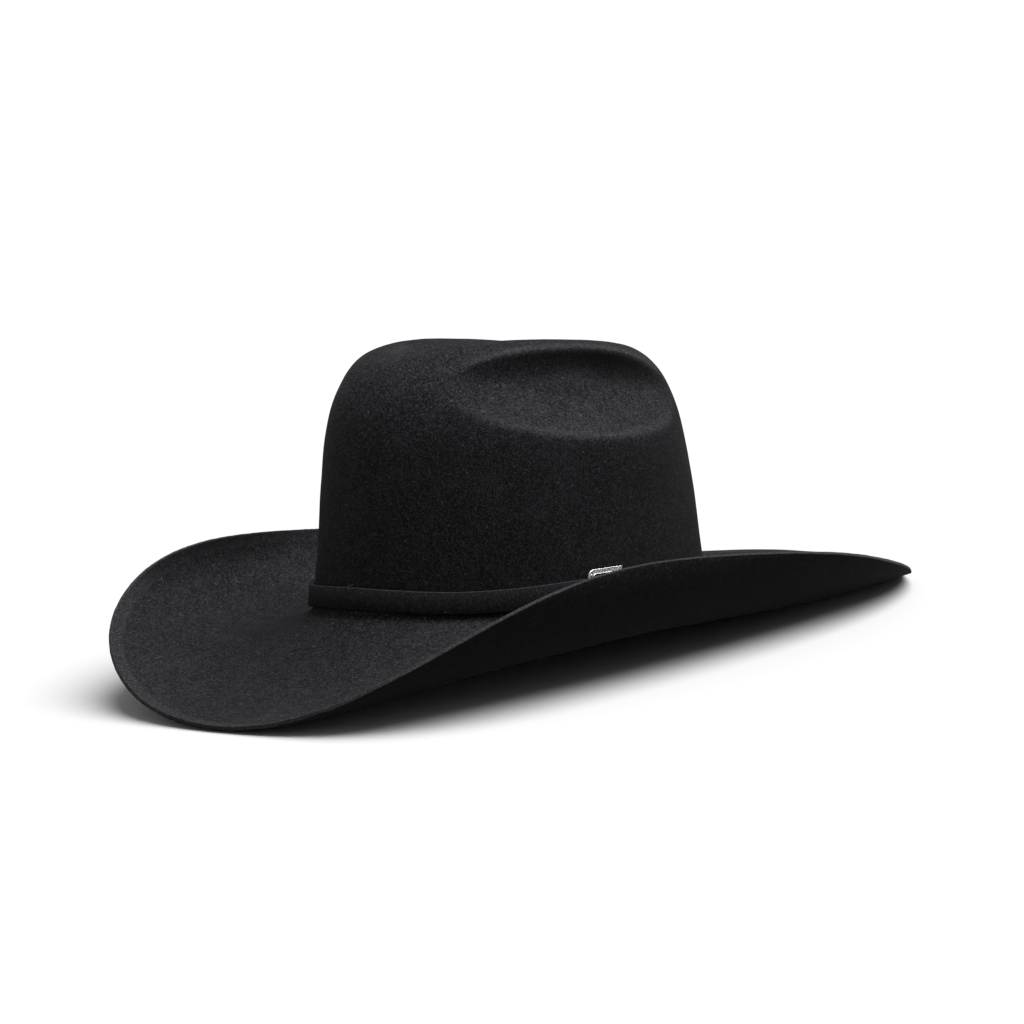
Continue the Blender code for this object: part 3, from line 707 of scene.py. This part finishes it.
def strap_course():
    """The strap past its fold: how far along, its inner face's offset and its thickness.

    Lengths run once round the crown, from the bar to TURN, and on to the free end.
    """
    over = BAR_OUT + BAR_RADIUS + 2 * GAP + BAND_SKIVED
    low = [(1.5, 0.6), (6.0, 0.5), (10.0, 0.5), (16.0, 1.4), (32.0, 1.4), (38.0, 0.7)]
    low += [(44.0, 0.4), (TURN - 20.0, 0.4), (TURN - 14.5, 0.5), (TURN - 11.5, 1.4)]
    low += [(TURN - 8.0, 4.0), (TURN - 4.5, 5.4), (TURN - 1.5, over), (TURN + 1.5, over)]
    low += [(TURN + 5, 5.7), (TURN + 10, 4.8), (TURN + 15, 3.9), (TURN + 20, 3.7)]
    low += [(TURN + 32, 3.7), (TURN + 38, 3.9), (TURN + FREE_END, 3.9)]
    thick = [(1.5, 1.2), (10, 1.2), (16, 1.8), (32, 1.8), (38, 2.1), (44, 2.4)]
    thick += [(TURN - 20, 2.4), (TURN - 14.5, 2.0), (TURN - 11.5, 1.8), (TURN - 8, 1.7)]
    thick += [(TURN - 1.5, 1.6), (TURN + FREE_END, 1.6)]
    start, end = np.arange(1.5, 56.0, 1.0), np.arange(TURN - 24.0, TURN + FREE_END + 0.1, 1.0)
    along = joined([start, np.arange(56.0, TURN - 24.0, 3.0), end])
    near = along + np.linspace(-1.6, 1.6, 5)[:, None]
    inner, width = (np.interp(near, *zip(*line)).mean(axis=0) for line in (low, thick))
    return along, inner, width


def rounded_outline(low, high, radii, steps=5):
    """Rectangle with rounded corners, anticlockwise from the lower left one."""
    (left, bottom), (right, top) = low, high
    corners = ((left, bottom, 180), (right, bottom, 270), (right, top, 0), (left, top, 90))
    points = []
    for (x, y, start), radius in zip(corners, radii):
        cx = x + radius if x == left else x - radius
        cy = y + radius if y == bottom else y - radius
        for i in range(steps + 1):
            t = radians(start + 90.0 * i / steps)
            points.append((cx + radius * cos(t), cy + radius * sin(t)))
    return np.array(points)


def band_outline(thick):
    """Cross-section of the strap: heights above the break, and offsets through the thickness."""
    radius = min(0.45, 0.35 * thick)
    return rounded_outline((BAND_LOW, 0.0), (BAND_HIGH, thick), (radius,) * 4, steps=4)


FOLDED_END = ((8.5, 3.3), (7.0, 3.8), (5.5, 4.3), (4.0, 4.85), (2.8, 5.3), (1.2, 5.5))


def strap_sections():
    """Cross-sections of the strap: its folded end, the turn round the bar, and once round."""
    height, off = band_outline(BAND_SKIVED).T
    sections = []
    for along, outer in FOLDED_END:
        sections.append(wall_point(along_to_angle(along), height, outer - off))
    radius = BAR_RADIUS + GAP + BAND_SKIVED - off
    for turn in np.radians(np.arange(176, 0, -11)):
        local = xyz(-radius * sin(turn), height - FRAME_MIDDLE, -radius * cos(turn))
        sections.append(set_in(SITE, local))
    for along, inner, thick in zip(*strap_course()):
        height, off = band_outline(thick).T
        sections.append(wall_point(along_to_angle(along), height, inner + off))
    return sections


def hatband_strap(mat):
    points, faces = sweep(strap_sections())
    obj = add_piece("hatband", points, faces, mat, "band_felt", ["hatband_strap"], sharp=60)
    middle, half = BAND_MIDDLE - FRAME_MIDDLE, 0.5 * SLOT_HEIGHT
    hole = box_points((-12.5, middle - half, -6.0), (-2.7, middle + half, 6.0))
    notch = box_points((-3.4, middle - half, -6.0), (2.7, middle + half, 2.5))
    for corners in (hole, notch):
        boolean(obj, corners, BOX_FACES, "DIFFERENCE", SITE)
    spots = np.array([v.co for v in obj.data.vertices])
    angle = np.arctan2(spots[:, 0] / HALF_WIDTH, -spots[:, 1] / HALF_LENGTH)
    above = spots[:, 2] / MM - break_height(angle)
    attribute(obj, "wear", smoothstep(BAND_HIGH - 0.7, BAND_HIGH + 0.1, above))
    # Painted light and shade by which way the band faces.
    paint_facing_shade(obj)
    reshade(obj, 50)


def band_tack(name, angle, mat):
    """Two turns of thread from the crown over the strap's upper edge."""
    top = BAND_GAP + BAND_THICK
    path = [(13.9, -0.3), (13.75, 0.5), (13.5, 1.5), (13.25, 2.5)]
    path += [(12.9, top + 0.1), (12.2, top + 0.28), (11.2, top + 0.2), (10.6, top - 0.2)]
    course = in_between(path, 40)
    height, out = course.T
    site = wall_frame(angle, 0.0, 0.0)
    points, faces = np.zeros((0, 3)), []
    for strand in (0, 1):
        twist = 2 * pi * (np.arange(len(course)) / 9.0 + 0.5 * strand)
        across = 0.17 * np.cos(twist) + 0.0525 * (height - 12.0)
        centre = xyz(across, height + 0.08 * np.sin(twist), out + 0.13 * np.sin(twist))
        points, faces = append_part(points, faces, *tube(centre, TACK_RADIUS, 8))
    add_piece(name, set_in(site, points), faces, mat, "thread", [name])


def tube(course, radius, around=10):
    """A round tube on a line of points."""
    ahead = unit(np.gradient(course, axis=0))
    side = unit(np.cross(ahead, (0.31, 0.17, 0.93)))
    other = np.cross(ahead, side)
    t = turns(around)[:, None]
    sections = []
    for here, a, b in zip(course, side, other):
        sections.append(here + radius * (np.cos(t) * a + np.sin(t) * b))
    return sweep(sections)


# Buckle set. Each piece is made in its own axes: X along the strap, Y up, Z out.

def scroll(along, across):
    """Depth, from 0 to 1, of the cut lines of a running leaf border."""
    wave = 0.26 * np.sin(2 * pi * along / 3.6)
    stem = np.exp(-((across - 0.5 - wave) / 0.07) ** 2)
    leaf = 0.5 - 0.30 * np.sin(2 * pi * along / 3.6)
    bud = (np.mod(along + 0.9, 1.8) - 0.9) / 0.42
    dots = np.exp(-(bud ** 2 + ((across - leaf) / 0.13) ** 2) ** 2)
    return np.clip(stem + 0.9 * dots, 0.0, 1.0)


def arm_profile(along, across, base, width):
    """Height of an engraved arm with a raised rim, and how dark each place has gone."""
    near = np.minimum(across, 1.0 - across) * width
    rim = np.sqrt(np.clip(1.0 - ((near - 0.26) / 0.26) ** 2, 0.0, 1.0))
    field = smoothstep(0.52, 0.66, near)
    cut = scroll(along, across) * smoothstep(0.62, 0.85, near)
    rope = 0.5 + 0.5 * np.cos(2 * pi * (along / 0.62 + 0.25 * near / 0.26))
    raised, sunk = (0.24 - 0.05 * rope) * rim, 0.10 * field - 0.13 * cut
    height = base - 0.22 + np.where(near < 0.52, raised, sunk)
    groove = np.exp(-((near - 0.56) / 0.09) ** 2)
    dark = np.clip(0.95 * groove + 0.85 * cut, 0.0, 1.0)
    return height, dark


def buckle_frame(mat):
    half = 0.5 * (FRAME_HIGH - FRAME_LOW)
    outer = u_line((FRAME_FRONT, half), FRAME_CORNER)
    inner = u_line((FRAME_FRONT + FRAME_FRONT_ARM, half - FRAME_ARM), 1.4)
    step = size_of(np.diff(0.5 * (outer + inner), axis=0))
    along = joined([[0.0], np.cumsum(step)])
    width = size_of(outer - inner)
    across = np.linspace(0.0, 1.0, 27)
    low = -0.5 * FRAME_THICK
    sections, dark = [], []
    for o, i, a, w in zip(outer, inner, along, width):
        height, patina = arm_profile(a, across, 0.5 * FRAME_THICK, w)
        plan = o + (i - o) * across[:, None]
        top = stacked([plan, height])
        ease = (i - o) * (0.18 / w)
        sides = [(*i, low + 0.2), (*(i - ease), low), (*(o + ease), low), (*o, low + 0.2)]
        sections.append(np.vstack([top, sides]))
        dark.append(joined([patina, [0.3, 0.3, 0.3, 0.3]]))
    points, faces = sweep(sections)
    points = set_in(SITE, points)
    made = ("silver", ["buckle_frame"], "buckle", SHARP)
    obj = add_piece("engraved_buckle", points, faces, mat, *made)
    attribute(obj, "patina", joined([np.ravel(dark), [0.4, 0.4]]))


def u_line(front_corner, radius):
    """A frame's outline, from the rear of the lower arm, round the front, to the upper one."""
    x, y = front_corner
    run = np.linspace(FRAME_REAR, x + radius, 150)
    lower = stacked([run, np.full(len(run), -y)])
    turn = np.radians(np.linspace(270.0, 180.0, 40))[1:]
    round_x, round_y = radius + radius * np.cos(turn), radius + radius * np.sin(turn)
    bend = stacked([x + round_x, round_y - y])
    rise = np.linspace(-y + radius, 0.0, 50)[1:]
    front = stacked([np.full(len(rise), x), rise])
    line = np.vstack([lower, bend, front])
    return np.vstack([line, line[-2::-1] * (1.0, -1.0)])


def buckle_prong(mat):
    middle = BAND_MIDDLE - FRAME_MIDDLE
    half = 0.5 * PRONG_WIDTH
    inside, outside = BAR_RADIUS + 0.25, BAR_RADIUS + 1.15
    outline = rounded_outline((inside, -half), (outside, half), (0.3,) * 4, steps=3)
    ring = []
    for turn in turns(48):
        c, s = cos(turn), sin(turn)
        ring.append([(r * c, middle + y, r * s) for r, y in outline])
    rest = 0.5 * FRAME_THICK + 0.25 + 0.5 * PRONG_THICK
    path = [(-1.5, 0.0, 0.85), (-2.6, 0.1, 0.9), (-4.5, 0.5, 1.0), (-7.5, 1.1, 1.0)]
    path += [(-11.0, rest, 0.98), (-16.0, rest, 0.9), (-18.6, rest - 0.03, 0.75)]
    path += [(-19.4, rest - 0.1, 0.45)]
    c, s = np.cos(turns(20)), np.sin(turns(20))
    round_y, round_z = (np.sign(v) * np.abs(v) ** 0.7 for v in (c, s))
    shank = []
    for x, z, width in in_between(path, 60):
        tall = 0.5 * PRONG_THICK * (0.6 + 0.4 * width)
        shank.append(xyz(x, middle + round_y * half * width, z + round_z * tall))
    points, faces = sweep(ring, closed=True)
    points = set_in(SITE, points)
    obj = add_piece("polished_prong", points, faces, mat, "silver", ["buckle_prong"], "prong")
    points, faces = sweep(shank)
    boolean(obj, set_in(SITE, points), faces, "UNION")
    reshade(obj)
    attribute(obj, "patina", np.zeros(len(obj.data.vertices)))


def keeper_loop(mat):
    low, high = (h - BAND_MIDDLE for h in KEEPER_HEIGHT)
    bottom, top = low - KEEPER_WALL, high + KEEPER_WALL
    outer = loop_line((bottom, KEEPER_OUTSIDE[0]), (top, KEEPER_OUTSIDE[1]), 1.0)
    inner = loop_line((low, KEEPER_INSIDE[0]), (high, KEEPER_INSIDE[1]), 0.35)
    reach = 0.5 * KEEPER_LENGTH
    across = np.linspace(0.0, 1.0, 31)
    sections, dark = [], []
    for o, i, a in zip(outer, inner, lengths_round(outer)):
        sunk, patina = arm_profile(a, across, 0.22, KEEPER_LENGTH)
        wall = size_of(o - i)
        share = (-sunk + 0.02) / wall
        x = -reach + across * KEEPER_LENGTH
        front = stacked([x, o + (i - o) * share[:, None]])
        back = np.array([(reach - 0.12, *i), (-reach + 0.12, *i)])
        sections.append(np.vstack([front, back]))
        dark.append(joined([patina, [0.3, 0.3]]))
    points, faces = sweep(sections, closed=True)
    points = set_in(wall_frame(along_to_angle(KEEPER_ALONG), BAND_MIDDLE, 0.0), points)
    made = ("silver", ["keeper_loop"], "keeper", SHARP)
    obj = add_piece("engraved_keeper", points, faces, mat, *made)
    attribute(obj, "patina", np.ravel(dark))


def loop_line(low, high, radius):
    """A rounded rectangle with points all along its sides."""
    corners = rounded_outline(low, high, (radius,) * 4, steps=6)
    counts = ([1] * 6 + [60] + [1] * 6 + [26]) * 2
    line = []
    for here, ahead, count in zip(corners, np.roll(corners, -1, axis=0), counts):
        line += [here + (ahead - here) * k / count for k in range(count)]
    return np.array(line)


def tip_site():
    return wall_frame(along_to_angle(0.5 * (TIP_START + TIP_END)), BAND_MIDDLE, 0.0)


def tip_relief(near, along):
    """Height of the tip's engraved face, and how dark it is, this near to its outline."""
    rim = np.sqrt(np.clip(1.0 - ((near - 0.3) / 0.3) ** 2, 0.0, 1.0))
    border = np.clip((near - 0.6) / 1.5, 0.0, 1.0)
    cut = scroll(along, border) * smoothstep(0.62, 0.85, near) * (1 - smoothstep(1.9, 2.1, near))
    line = np.exp(-((near - 2.3) / 0.13) ** 2)
    height = np.where(near < 0.6, -0.2 + 0.22 * rim, -0.13 - 0.12 * cut - 0.08 * line)
    groove = np.exp(-((near - 0.64) / 0.09) ** 2)
    dark = np.clip(groove + 0.85 * cut + 0.7 * line, 0.0, 1.0)
    return height + 0.16 * smoothstep(2.4, 4.2, near), dark


def strap_tip(mat):
    """A cup over the strap's free end, with a rounded point and an engraved face."""
    half = 0.5 * (BAND_HIGH - BAND_LOW) + 1.0
    reach = 0.5 * (TIP_END - TIP_START)
    outline = rounded_outline((-reach, -half), (reach, half), (0.6, 4.0, 4.0, 0.6), steps=16)
    outline = spaced(outline, 220)
    along = lengths_round(outline)
    low, high = TIP_INSIDE
    face, base = high + TIP_WALL, low - TIP_WALL
    middle = np.array([-1.2, 0.0])
    ray = outline - middle
    length = size_of(ray)
    rings, dark = [], []
    for share in joined([np.linspace(0.0, 0.55, 12)[1:], np.linspace(0.57, 1.0, 34)]):
        height, patina = tip_relief((1.0 - share) * length, along)
        rings.append(stacked([middle + ray * share, face + height]))
        dark.append(patina)
    rings += [ring_of(outline, face - 0.5), ring_of(outline, base + 0.15)]
    rings.append(ring_of(middle + ray * 0.97, base))
    dark += [np.full(len(outline), 0.2)] * 3
    points, faces = capped(np.array(rings), (*middle, face + 0.03), (*middle, base))
    points = set_in(tip_site(), points)
    obj = add_piece("engraved_tip", points, faces, mat, "silver", ["strap_tip"])
    attribute(obj, "patina", joined([np.ravel(dark), [0.0, 0.2]]))
    free = FREE_END - 0.5 * (TIP_START + TIP_END) + 1.2
    inside = half - 0.5
    pocket = box_points((-reach - 3.0, -inside, low), (free, inside, high))
    boolean(obj, set_in(tip_site(), pocket), BOX_FACES, "DIFFERENCE")
    reshade(obj)


def spaced(line, count):
    """The same closed line with its points evenly apart."""
    closed = np.vstack([line, line[:1]])
    length = joined([[0.0], np.cumsum(size_of(np.diff(closed, axis=0)))])
    at = length[-1] * np.arange(count) / count
    return stacked([np.interp(at, length, closed[:, k]) for k in (0, 1)])


def tip_rivet(mat):
    """A small domed head with a turned ring."""
    x, base, around = -3.0, TIP_INSIDE[1] + TIP_WALL, 40
    profile = [(1.3, 0.0, 0.6), (1.32, 0.15, 0.2), (1.2, 0.26, 0.0)]
    profile += [(1.02, 0.28, 0.6), (0.96, 0.22, 0.9), (0.9, 0.3, 0.2)]
    profile += [(0.7, 0.46, 0.0), (0.4, 0.58, 0.0), (0.12, 0.63, 0.0)]
    c, s = np.cos(turns(around)), np.sin(turns(around))
    rings = [xyz(x + radius * c, radius * s, base + height) for radius, height, _ in profile]
    points, faces = capped(np.array(rings), (x, 0.0, base), (x, 0.0, base + 0.65))
    points = set_in(tip_site(), points)
    obj = add_piece("domed_rivet", points, faces, mat, "silver", ["strap_tip_rivet"])
    dark = np.repeat([patina for _, _, patina in profile], around)
    attribute(obj, "patina", joined([dark, [0.0, 0.0]]))


# Inside the crown.

def sweatband(mat):
    """A leather strip that goes once round, turned in a little at its top."""
    count, half = 300, 0.5 * SWEAT_SEAM / HALF_WIDTH
    levels = [np.linspace(SWEAT_LOW, 4.0, 6), np.linspace(7.0, SWEAT_HIGH - 0.4, 14)]
    levels = joined(levels)
    sections = []
    for i in range(count + 1):
        angle = pi + half + (2.0 * pi - 2.0 * half) * i / count
        wave = 0.5 * sin(3 * angle + 0.8) + 0.3 * sin(7 * angle)
        lean = SWEAT_OUT - (SWEAT_LEAN + wave) * (np.maximum(levels, 0.0) / SWEAT_HIGH) ** 1.4
        outer = wall_point(angle, levels, lean)
        inner = wall_point(angle, levels, lean - SWEAT_THICK)
        crest = wall_point(angle, SWEAT_HIGH, lean[-1] - np.array([0.35, 0.6, 0.85]))
        sections.append(np.vstack([outer, crest, inner[::-1]]))
    points, faces = sweep(sections)
    add_piece("leather_sweatband", points, faces, mat, "leather", ["sweatband"], sharp=60)


def sweatband_stitches(mat):
    """A row of straight stitches that holds the sweatband to its reed."""
    points, faces = np.zeros((0, 3)), []
    span = np.linspace(-0.36, 0.36, 7) * 2 * pi / STITCHES
    depth = SWEAT_OUT - SWEAT_THICK - 0.02 - 0.24 * np.cos(np.linspace(-1.5, 1.5, 7))
    for i in range(STITCHES):
        angle = pi + 2 * pi * (i + 0.5) / STITCHES
        course = wall_point(angle + span, STITCH_HEIGHT, depth)
        points, faces = append_part(points, faces, *tube(course, STITCH_RADIUS, 6))
    add_piece("sweatband_stitching", points, faces, mat, "thread")


def sweatband_reed(mat):
    """The covered reed along the sweatband's lower edge."""
    sections = []
    t = turns(16)
    for angle in turns(360):
        ribs = REED_RADIUS * (1.0 + 0.035 * cos(120 * angle))
        out = SWEAT_OUT - 0.8 + ribs * np.cos(t)
        sections.append(wall_point(angle, -REED_DOWN + ribs * np.sin(t), out))
    points, faces = sweep(sections, closed=True)
    add_piece("covered_reed", points, faces, mat, "reed_plastic", ["sweatband_reed"])


def inside_point(angle, climb, deep):
    """Point this far inside the creased crown, square to its surface."""
    def at(turn, lift):
        return creased(crown_point(angle + turn, climb + lift))
    square = unit(np.cross(at(0.01, 0.0) - at(-0.01, 0.0), at(0.0, 0.5) - at(0.0, -0.5)))
    return at(0.0, 0.0) - np.asarray(deep)[..., None] * square


def liner_side(mat):
    """The lining's satin side, gathered in small pleats towards the tip."""
    angle = turns(600)
    climbs = np.linspace(18.0, 40.8, 30)
    phase = PLEATS * angle + 0.9 * np.sin(5 * angle) + 0.6 * np.sin(11 * angle + 1)
    rows = []
    for climb in climbs:
        fall = float(smoothstep(22.0, 40.0, climb))
        pleat = (0.5 + 0.5 * np.sin(phase)) ** 1.6 * 0.85 * fall
        rows.append(inside_point(angle, climb, LINER_DEEP + pleat - 0.1))
    grid = np.array(rows)
    square = normals_of(grid)
    side = np.sign(np.sum(square * (grid - grid.mean(axis=(0, 1))), axis=-1))[..., None]
    back = grid + 0.25 * square * side
    shell = joined([grid, back[::-1]])
    points = shell.reshape(-1, 3)
    faces = grid_faces(len(shell), len(angle), wrap_rows=True)
    obj = add_piece("satin_side", points, faces, mat, "satin", ["liner_side"])
    u = np.broadcast_to(angle * 0.095, (len(climbs), len(angle)))
    v = np.broadcast_to(np.linspace(0.0, 0.065, len(climbs))[:, None], u.shape)
    measure = np.stack([u, v, np.zeros_like(u)], axis=-1)
    attribute(obj, "flat", joined([measure, measure[::-1]]).reshape(-1, 3))


def lining_top(name, climbs, deep, mat, node_name, slot, puckers):
    """A formed oval under the crown's top, closed at its middle."""
    angle = turns(420)
    wave = 0.5 + 0.5 * np.sin(PLEATS * angle + 0.9 * np.sin(5 * angle))
    grid, under = [], []
    for climb in climbs:
        edge = 1.0 - float(smoothstep(climbs[0], climbs[0] + 8.0, climb))
        row = inside_point(angle, climb, deep + puckers * edge * wave)
        drop = inside_point(angle, climb, LINING_THICK) - inside_point(angle, climb, 0.0)
        grid.append(row)
        under.append(row + drop)
    points, faces = capped(np.array(grid[::-1] + under))
    obj = add_piece(name, points, faces, mat, slot, [node_name])
    attribute(obj, "flat", points * (MM, MM, 0.0))
    return obj, np.array(grid)


def lining(satin, film):
    liner_side(satin)
    climbs = joined([np.linspace(41.2, 60.0, 22), np.linspace(61.5, 88.0, 24)])
    obj, grid = lining_top("satin_tip", climbs, LINER_DEEP, satin, "liner_tip", "satin", 0.5)
    shield = np.linspace(66.0, 88.0, 22)
    lining_top("clear_shield", shield, SHIELD_DEEP, film, "tip_shield", "clear_plastic", 0.0)


def sweatband_bow(mat):
    """A small ribbon bow: two flat loops and a wrapped middle."""
    t = np.linspace(0, 2 * pi, 121)
    pinches = np.abs(np.sin(t)) ** 0.6
    line = stacked([BOW_REACH * np.sin(t), 0.55 * np.sin(2 * t)])
    sections = []
    for i, ((x, z), pinch) in enumerate(zip(line[:-1], pinches)):
        high = BOW_HALF_WIDTH * (0.32 + 0.68 * pinch)
        ahead = unit(line[(i + 1) % 120] - line[(i - 1) % 120])
        dx, dz = -ahead[1] * 0.5 * BOW_THICK, ahead[0] * 0.5 * BOW_THICK
        fold = 0.10 * cos(9.0 * pinch)
        across = ((-high, 0.0), (0.0, fold), (high, 0.0))
        front = [(x + dx, y, z + dz + lift) for y, lift in across]
        back = [(x - dx, y, z - dz + lift) for y, lift in across[::-1]]
        sections.append(front + back)
    points, faces = sweep(sections, closed=True)
    site = wall_frame(pi, BOW_HEIGHT, SWEAT_OUT - SWEAT_THICK - 2.5)
    placed = set_in(site, points)
    obj = add_piece("ribbon_bow", placed, faces, mat, "ribbon", ["sweatband_bow"], sharp=50)
    attribute(obj, "flat", points * MM)
    knot = []
    for t in turns(40):
        r = 1.0 + 0.05 * cos(6 * t)
        y, z = 1.75 * r * cos(t), 0.95 * r * sin(t)
        profile = ((-1.3, 0.86), (-0.8, 1.0), (0.8, 1.0), (1.3, 0.86), (0.0, 0.7))
        knot.append([(x, y * size, z * size) for x, size in profile])
    points, faces = sweep(knot, closed=True)
    wrap = add_piece("ribbon_knot", set_in(site, points), faces, mat, "ribbon", sharp=50)
    attribute(wrap, "flat", points[:, [1, 0, 2]] * MM)


# Stage.

LIGHT_AZIMUTH, LIGHT_ELEVATION, LIGHT_SPREAD, LIGHT_STRENGTH = 125.0, 62.0, 60.0, 4.9
WORLD_STRENGTH, FLOOR_RADIUS, FLOOR_GAP = 0.35, 40.0, 0.0003
CAMERA_AZIMUTH, CAMERA_ELEVATION, CAMERA_ROLL = 46.87, 8.92, -7.20
CAMERA_FAR, CAMERA_LENS, SENSOR = 2.347, 168.2, 36.0
AIM_HEIGHT, AIM_RIGHT, AIM_UP = 0.0795, 0.0074, -0.0155


def towards(azimuth, elevation):
    """Direction of a place seen from the hat: azimuth is from the front to the wearer's left."""
    a, e = radians(azimuth), radians(elevation)
    return Vector((sin(a) * cos(e), -cos(a) * cos(e), sin(e)))


def light():
    """One wide, even light from above and behind the wearer's left."""
    lamp = bpy.data.lights.new("overhead", "SUN")
    lamp.angle, lamp.energy = radians(LIGHT_SPREAD), LIGHT_STRENGTH
    obj = new_object("overhead", lamp)
    obj.location = towards(LIGHT_AZIMUTH, LIGHT_ELEVATION)
    obj.rotation_mode = "QUATERNION"
    obj.rotation_quaternion = (-obj.location).to_track_quat("-Z", "Y")


def camera():
    azimuth, roll = radians(CAMERA_AZIMUTH), radians(CAMERA_ROLL)
    back = towards(CAMERA_AZIMUTH, CAMERA_ELEVATION)
    right = Vector((cos(azimuth), sin(azimuth), 0.0))
    up = back.cross(right)
    across = cos(roll) * right + sin(roll) * up
    rise = cos(roll) * up - sin(roll) * right
    middle = Vector((0.0, 0.0, AIM_HEIGHT))
    data = bpy.data.cameras.new("camera")
    data.lens, data.sensor_width = CAMERA_LENS, SENSOR
    obj = new_object("camera", data)
    obj.location = middle + back * CAMERA_FAR
    away = (obj.location - (middle + AIM_RIGHT * across + AIM_UP * rise)).normalized()
    side = rise.cross(away).normalized()
    obj.rotation_mode = "QUATERNION"
    obj.rotation_quaternion = Matrix((side, away.cross(side), away)).transposed().to_quaternion()
    bpy.context.scene.camera = obj


def stage():
    mesh = bpy.data.meshes.new("floor")
    bm = bmesh.new()
    bmesh.ops.create_circle(bm, cap_ends=True, segments=96, radius=FLOOR_RADIUS)
    bm.to_mesh(mesh)
    bm.free()
    floor = new_object("floor", mesh)
    floor.location.z = -FLOOR_GAP
    mesh.materials.append(floor_material())
    world = bpy.data.worlds.new("studio")
    bpy.context.scene.world = world
    world.use_nodes = True
    background = world.node_tree.nodes["Background"]
    background.inputs["Color"].default_value = (1.0, 1.0, 1.0, 1.0)
    background.inputs["Strength"].default_value = WORLD_STRENGTH
    light()
    bpy.context.scene.view_settings.view_transform = "Standard"


def grey(level, blue):
    """A near-grey colour, in thousandths of white."""
    return level / 1000.0, level / 1000.0, blue / 1000.0


def main():
    felt = felt_material("felt", (0.0056, 0.0058, 0.0066), (0.0150, 0.0152, 0.0168), 0.015)
    band = felt_material("band_felt", (0.0040, 0.0042, 0.0048), (0.0110, 0.0112, 0.0124), 0.01)
    silver = silver_material()
    thread = thread_material("thread", grey(5, 6))
    reed = woven_material("reed_cover", grey(6, 7), grey(16, 18), 900.0, 0.55, 0.1)
    satin = woven_material("satin", grey(10, 12), grey(22, 26), 1200.0, 0.34, 0.3)
    ribbon = woven_material("ribbon", grey(8, 9), grey(18, 20), 1500.0, 0.45, 0.2)
    felt_body(felt)
    hatband_strap(band)
    buckle_frame(silver)
    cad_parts["buckle_bar"].data.materials.clear()
    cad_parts["buckle_bar"].data.materials.append(silver)
    buckle_prong(silver)
    keeper_loop(silver)
    strap_tip(silver)
    tip_rivet(silver)
    for side, degrees in TACK_ANGLES.items():
        band_tack("band_tack_" + side, radians(degrees), thread)
    sweatband(leather_material())
    sweatband_stitches(thread)
    sweatband_reed(reed)
    sweatband_bow(ribbon)
    lining(satin, film_material())
    camera()
    stage()


main()
